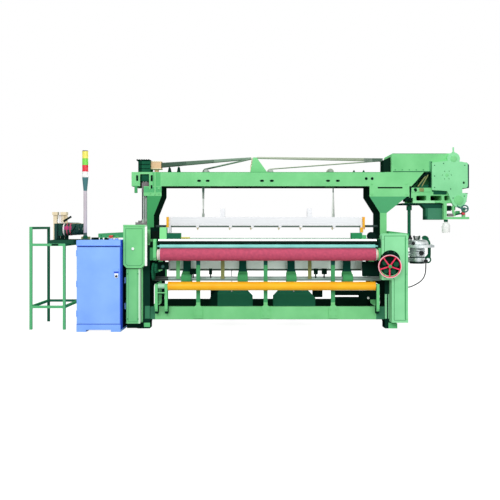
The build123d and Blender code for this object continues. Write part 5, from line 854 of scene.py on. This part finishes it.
# Weft feeders: windings, yarn arms, eyelets and the sensor wires
for number, y, yarn in ((1, -480, yarn_magenta), (2, -330, yarn_white), (3, -180, yarn_magenta)):
    fitting(f"feeder_windings_{number}",
        [lathe([(x + 4 * i, 60.5 + 1.2 * (i % 2)) for i in range(4)], "x", (0, y, 1004), 48)
        for x in (-2034, -2000)], yarn)
    fitting(f"feeder_arm_{number}", [pipe([(-2090, y, 1062), (-2060, y, 1069), (-1990, y, 1066),
        (-1936, y, 1040), (-1924, y, 1008)], 4), lathe([(-5, 9), (5, 9)], "x", (-1922, y, 1004), 20)],
        dark_cable)
    fitting(f"feeder_housing_fins_{number}",
        [slab(-2146, y - 40, z, -2080, y + 40, z + 7) for z in range(945, 1060, 22)], dark_green)
fitting("sensor_wires", [pipe([(x, -545, 1175), (x + 6, -548, 1150), (x - 10, -556, 1068)], 2.5, 8)
    for x in (-2140, -2110, -2085, -2055, -2028)], bright_zinc)
fitting("feeder_base_lump", [slab(-2165, -602, 838, -2088, -560, 860, 4, 10)], black_green)
fitting("feeder_rod", [pipe([(-2125, -560, 900), (-2000, -560, 945), (-1925, -560, 1040)], 5),
    pipe([(-2050, -560, 1085), (-1975, -560, 1132)], 10)], black_green)

# Rear
bolts("rest_bracket_bolts", [(side * 1148, y, z) for side in (-1, 1) for y in (515, 605)
    for z in (670, 730)], "x", -1, mid_green, across=18)
bolts("rapier_cover_bolts", [(x, -355, 935) for x in (-1720, -1590, -1460, -1330, 1290, 1380, 1450)], "y",
    -1, dark_green, across=9)


def seen_white(owner, output, soft, white):
    """Mixes two shaders: the white one is what the camera, reflections and clear plastic see."""
    rays = add_node(owner, "LightPath").outputs
    direct = add_node(owner, "Math", {
        "operation": "MAXIMUM", 0: rays["Is Camera Ray"], 1: rays["Is Glossy Ray"]})
    seen = add_node(owner, "Math", {"operation": "MAXIMUM", 0: direct, 1: rays["Is Transmission Ray"]})
    add_node(owner, output, {"Surface": add_node(owner, "MixShader", {0: seen, 1: soft, 2: white})})


# Stage: a floor and a world that the camera sees as white, with the object's shadow kept on the floor
floor_reach = 30.0
floor_paint = bpy.data.materials.new("pale studio floor")
floor_paint.use_nodes = True
floor_paint.node_tree.nodes.clear()
faint = add_node(floor_paint, "BsdfDiffuse", {"Color": linear("#8A8C8A")})
glow = add_node(floor_paint, "Emission", {"Color": linear("#FFFFFF"), "Strength": 0.92})
seen_white(floor_paint, "OutputMaterial", add_node(floor_paint, "BsdfDiffuse", {"Color": linear("#B8BAB8")}),
           add_node(floor_paint, "AddShader", {0: faint, 1: glow}))
floor_mesh = bpy.data.meshes.new("floor")
corners = [(x * floor_reach, y * floor_reach, 0) for x, y in ((-1, -1), (1, -1), (1, 1), (-1, 1))]
floor_mesh.from_pydata(corners, [], [(0, 1, 2, 3)])
floor_mesh.materials.append(floor_paint)
floor = bpy.data.objects.new("floor", floor_mesh)
bpy.context.scene.collection.objects.link(floor)

world = bpy.data.worlds.new("studio")
bpy.context.scene.world = world
world.use_nodes = True
world.node_tree.nodes.clear()
soft_fill, white_wall = (add_node(world, "Background", {"Color": linear("#FFFFFF"), "Strength": strength})
                         for strength in (0.58, 1.0))
seen_white(world, "OutputWorld", soft_fill, white_wall)


def area_lamp(name, place, target, size, power):
    """A soft square lamp that points at a target."""
    lamp = bpy.data.lights.new(name, "AREA")
    lamp.shape = "SQUARE"
    lamp.size = size
    lamp.energy = power
    holder = bpy.data.objects.new(name, lamp)
    holder.location = place
    holder.rotation_euler = (Vector(target) - Vector(place)).to_track_quat("-Z", "Y").to_euler()
    bpy.context.scene.collection.objects.link(holder)


area_lamp("key lamp", (-2.0, -7.5, 4.4), (0, 0, 0.9), 3.5, 270)
area_lamp("fill lamp", (3.0, -7.5, 2.4), (0, 0, 0.9), 4.0, 140)
area_lamp("top lamp", (0, 0.5, 6.0), (0, 0, 0.8), 4.0, 130)
area_lamp("rear lamp", (1.0, 7.5, 3.6), (0, 0, 0.9), 4.0, 200)

camera = bpy.data.cameras.new("camera")
camera.lens = camera_lens
camera.shift_x, camera.shift_y = camera_shift
holder = bpy.data.objects.new("camera", camera)
holder.location = camera_place
holder.rotation_euler = (math.radians(90), 0, 0)
bpy.context.scene.collection.objects.link(holder)
bpy.context.scene.camera = holder
bpy.context.scene.view_settings.view_transform = "Standard"
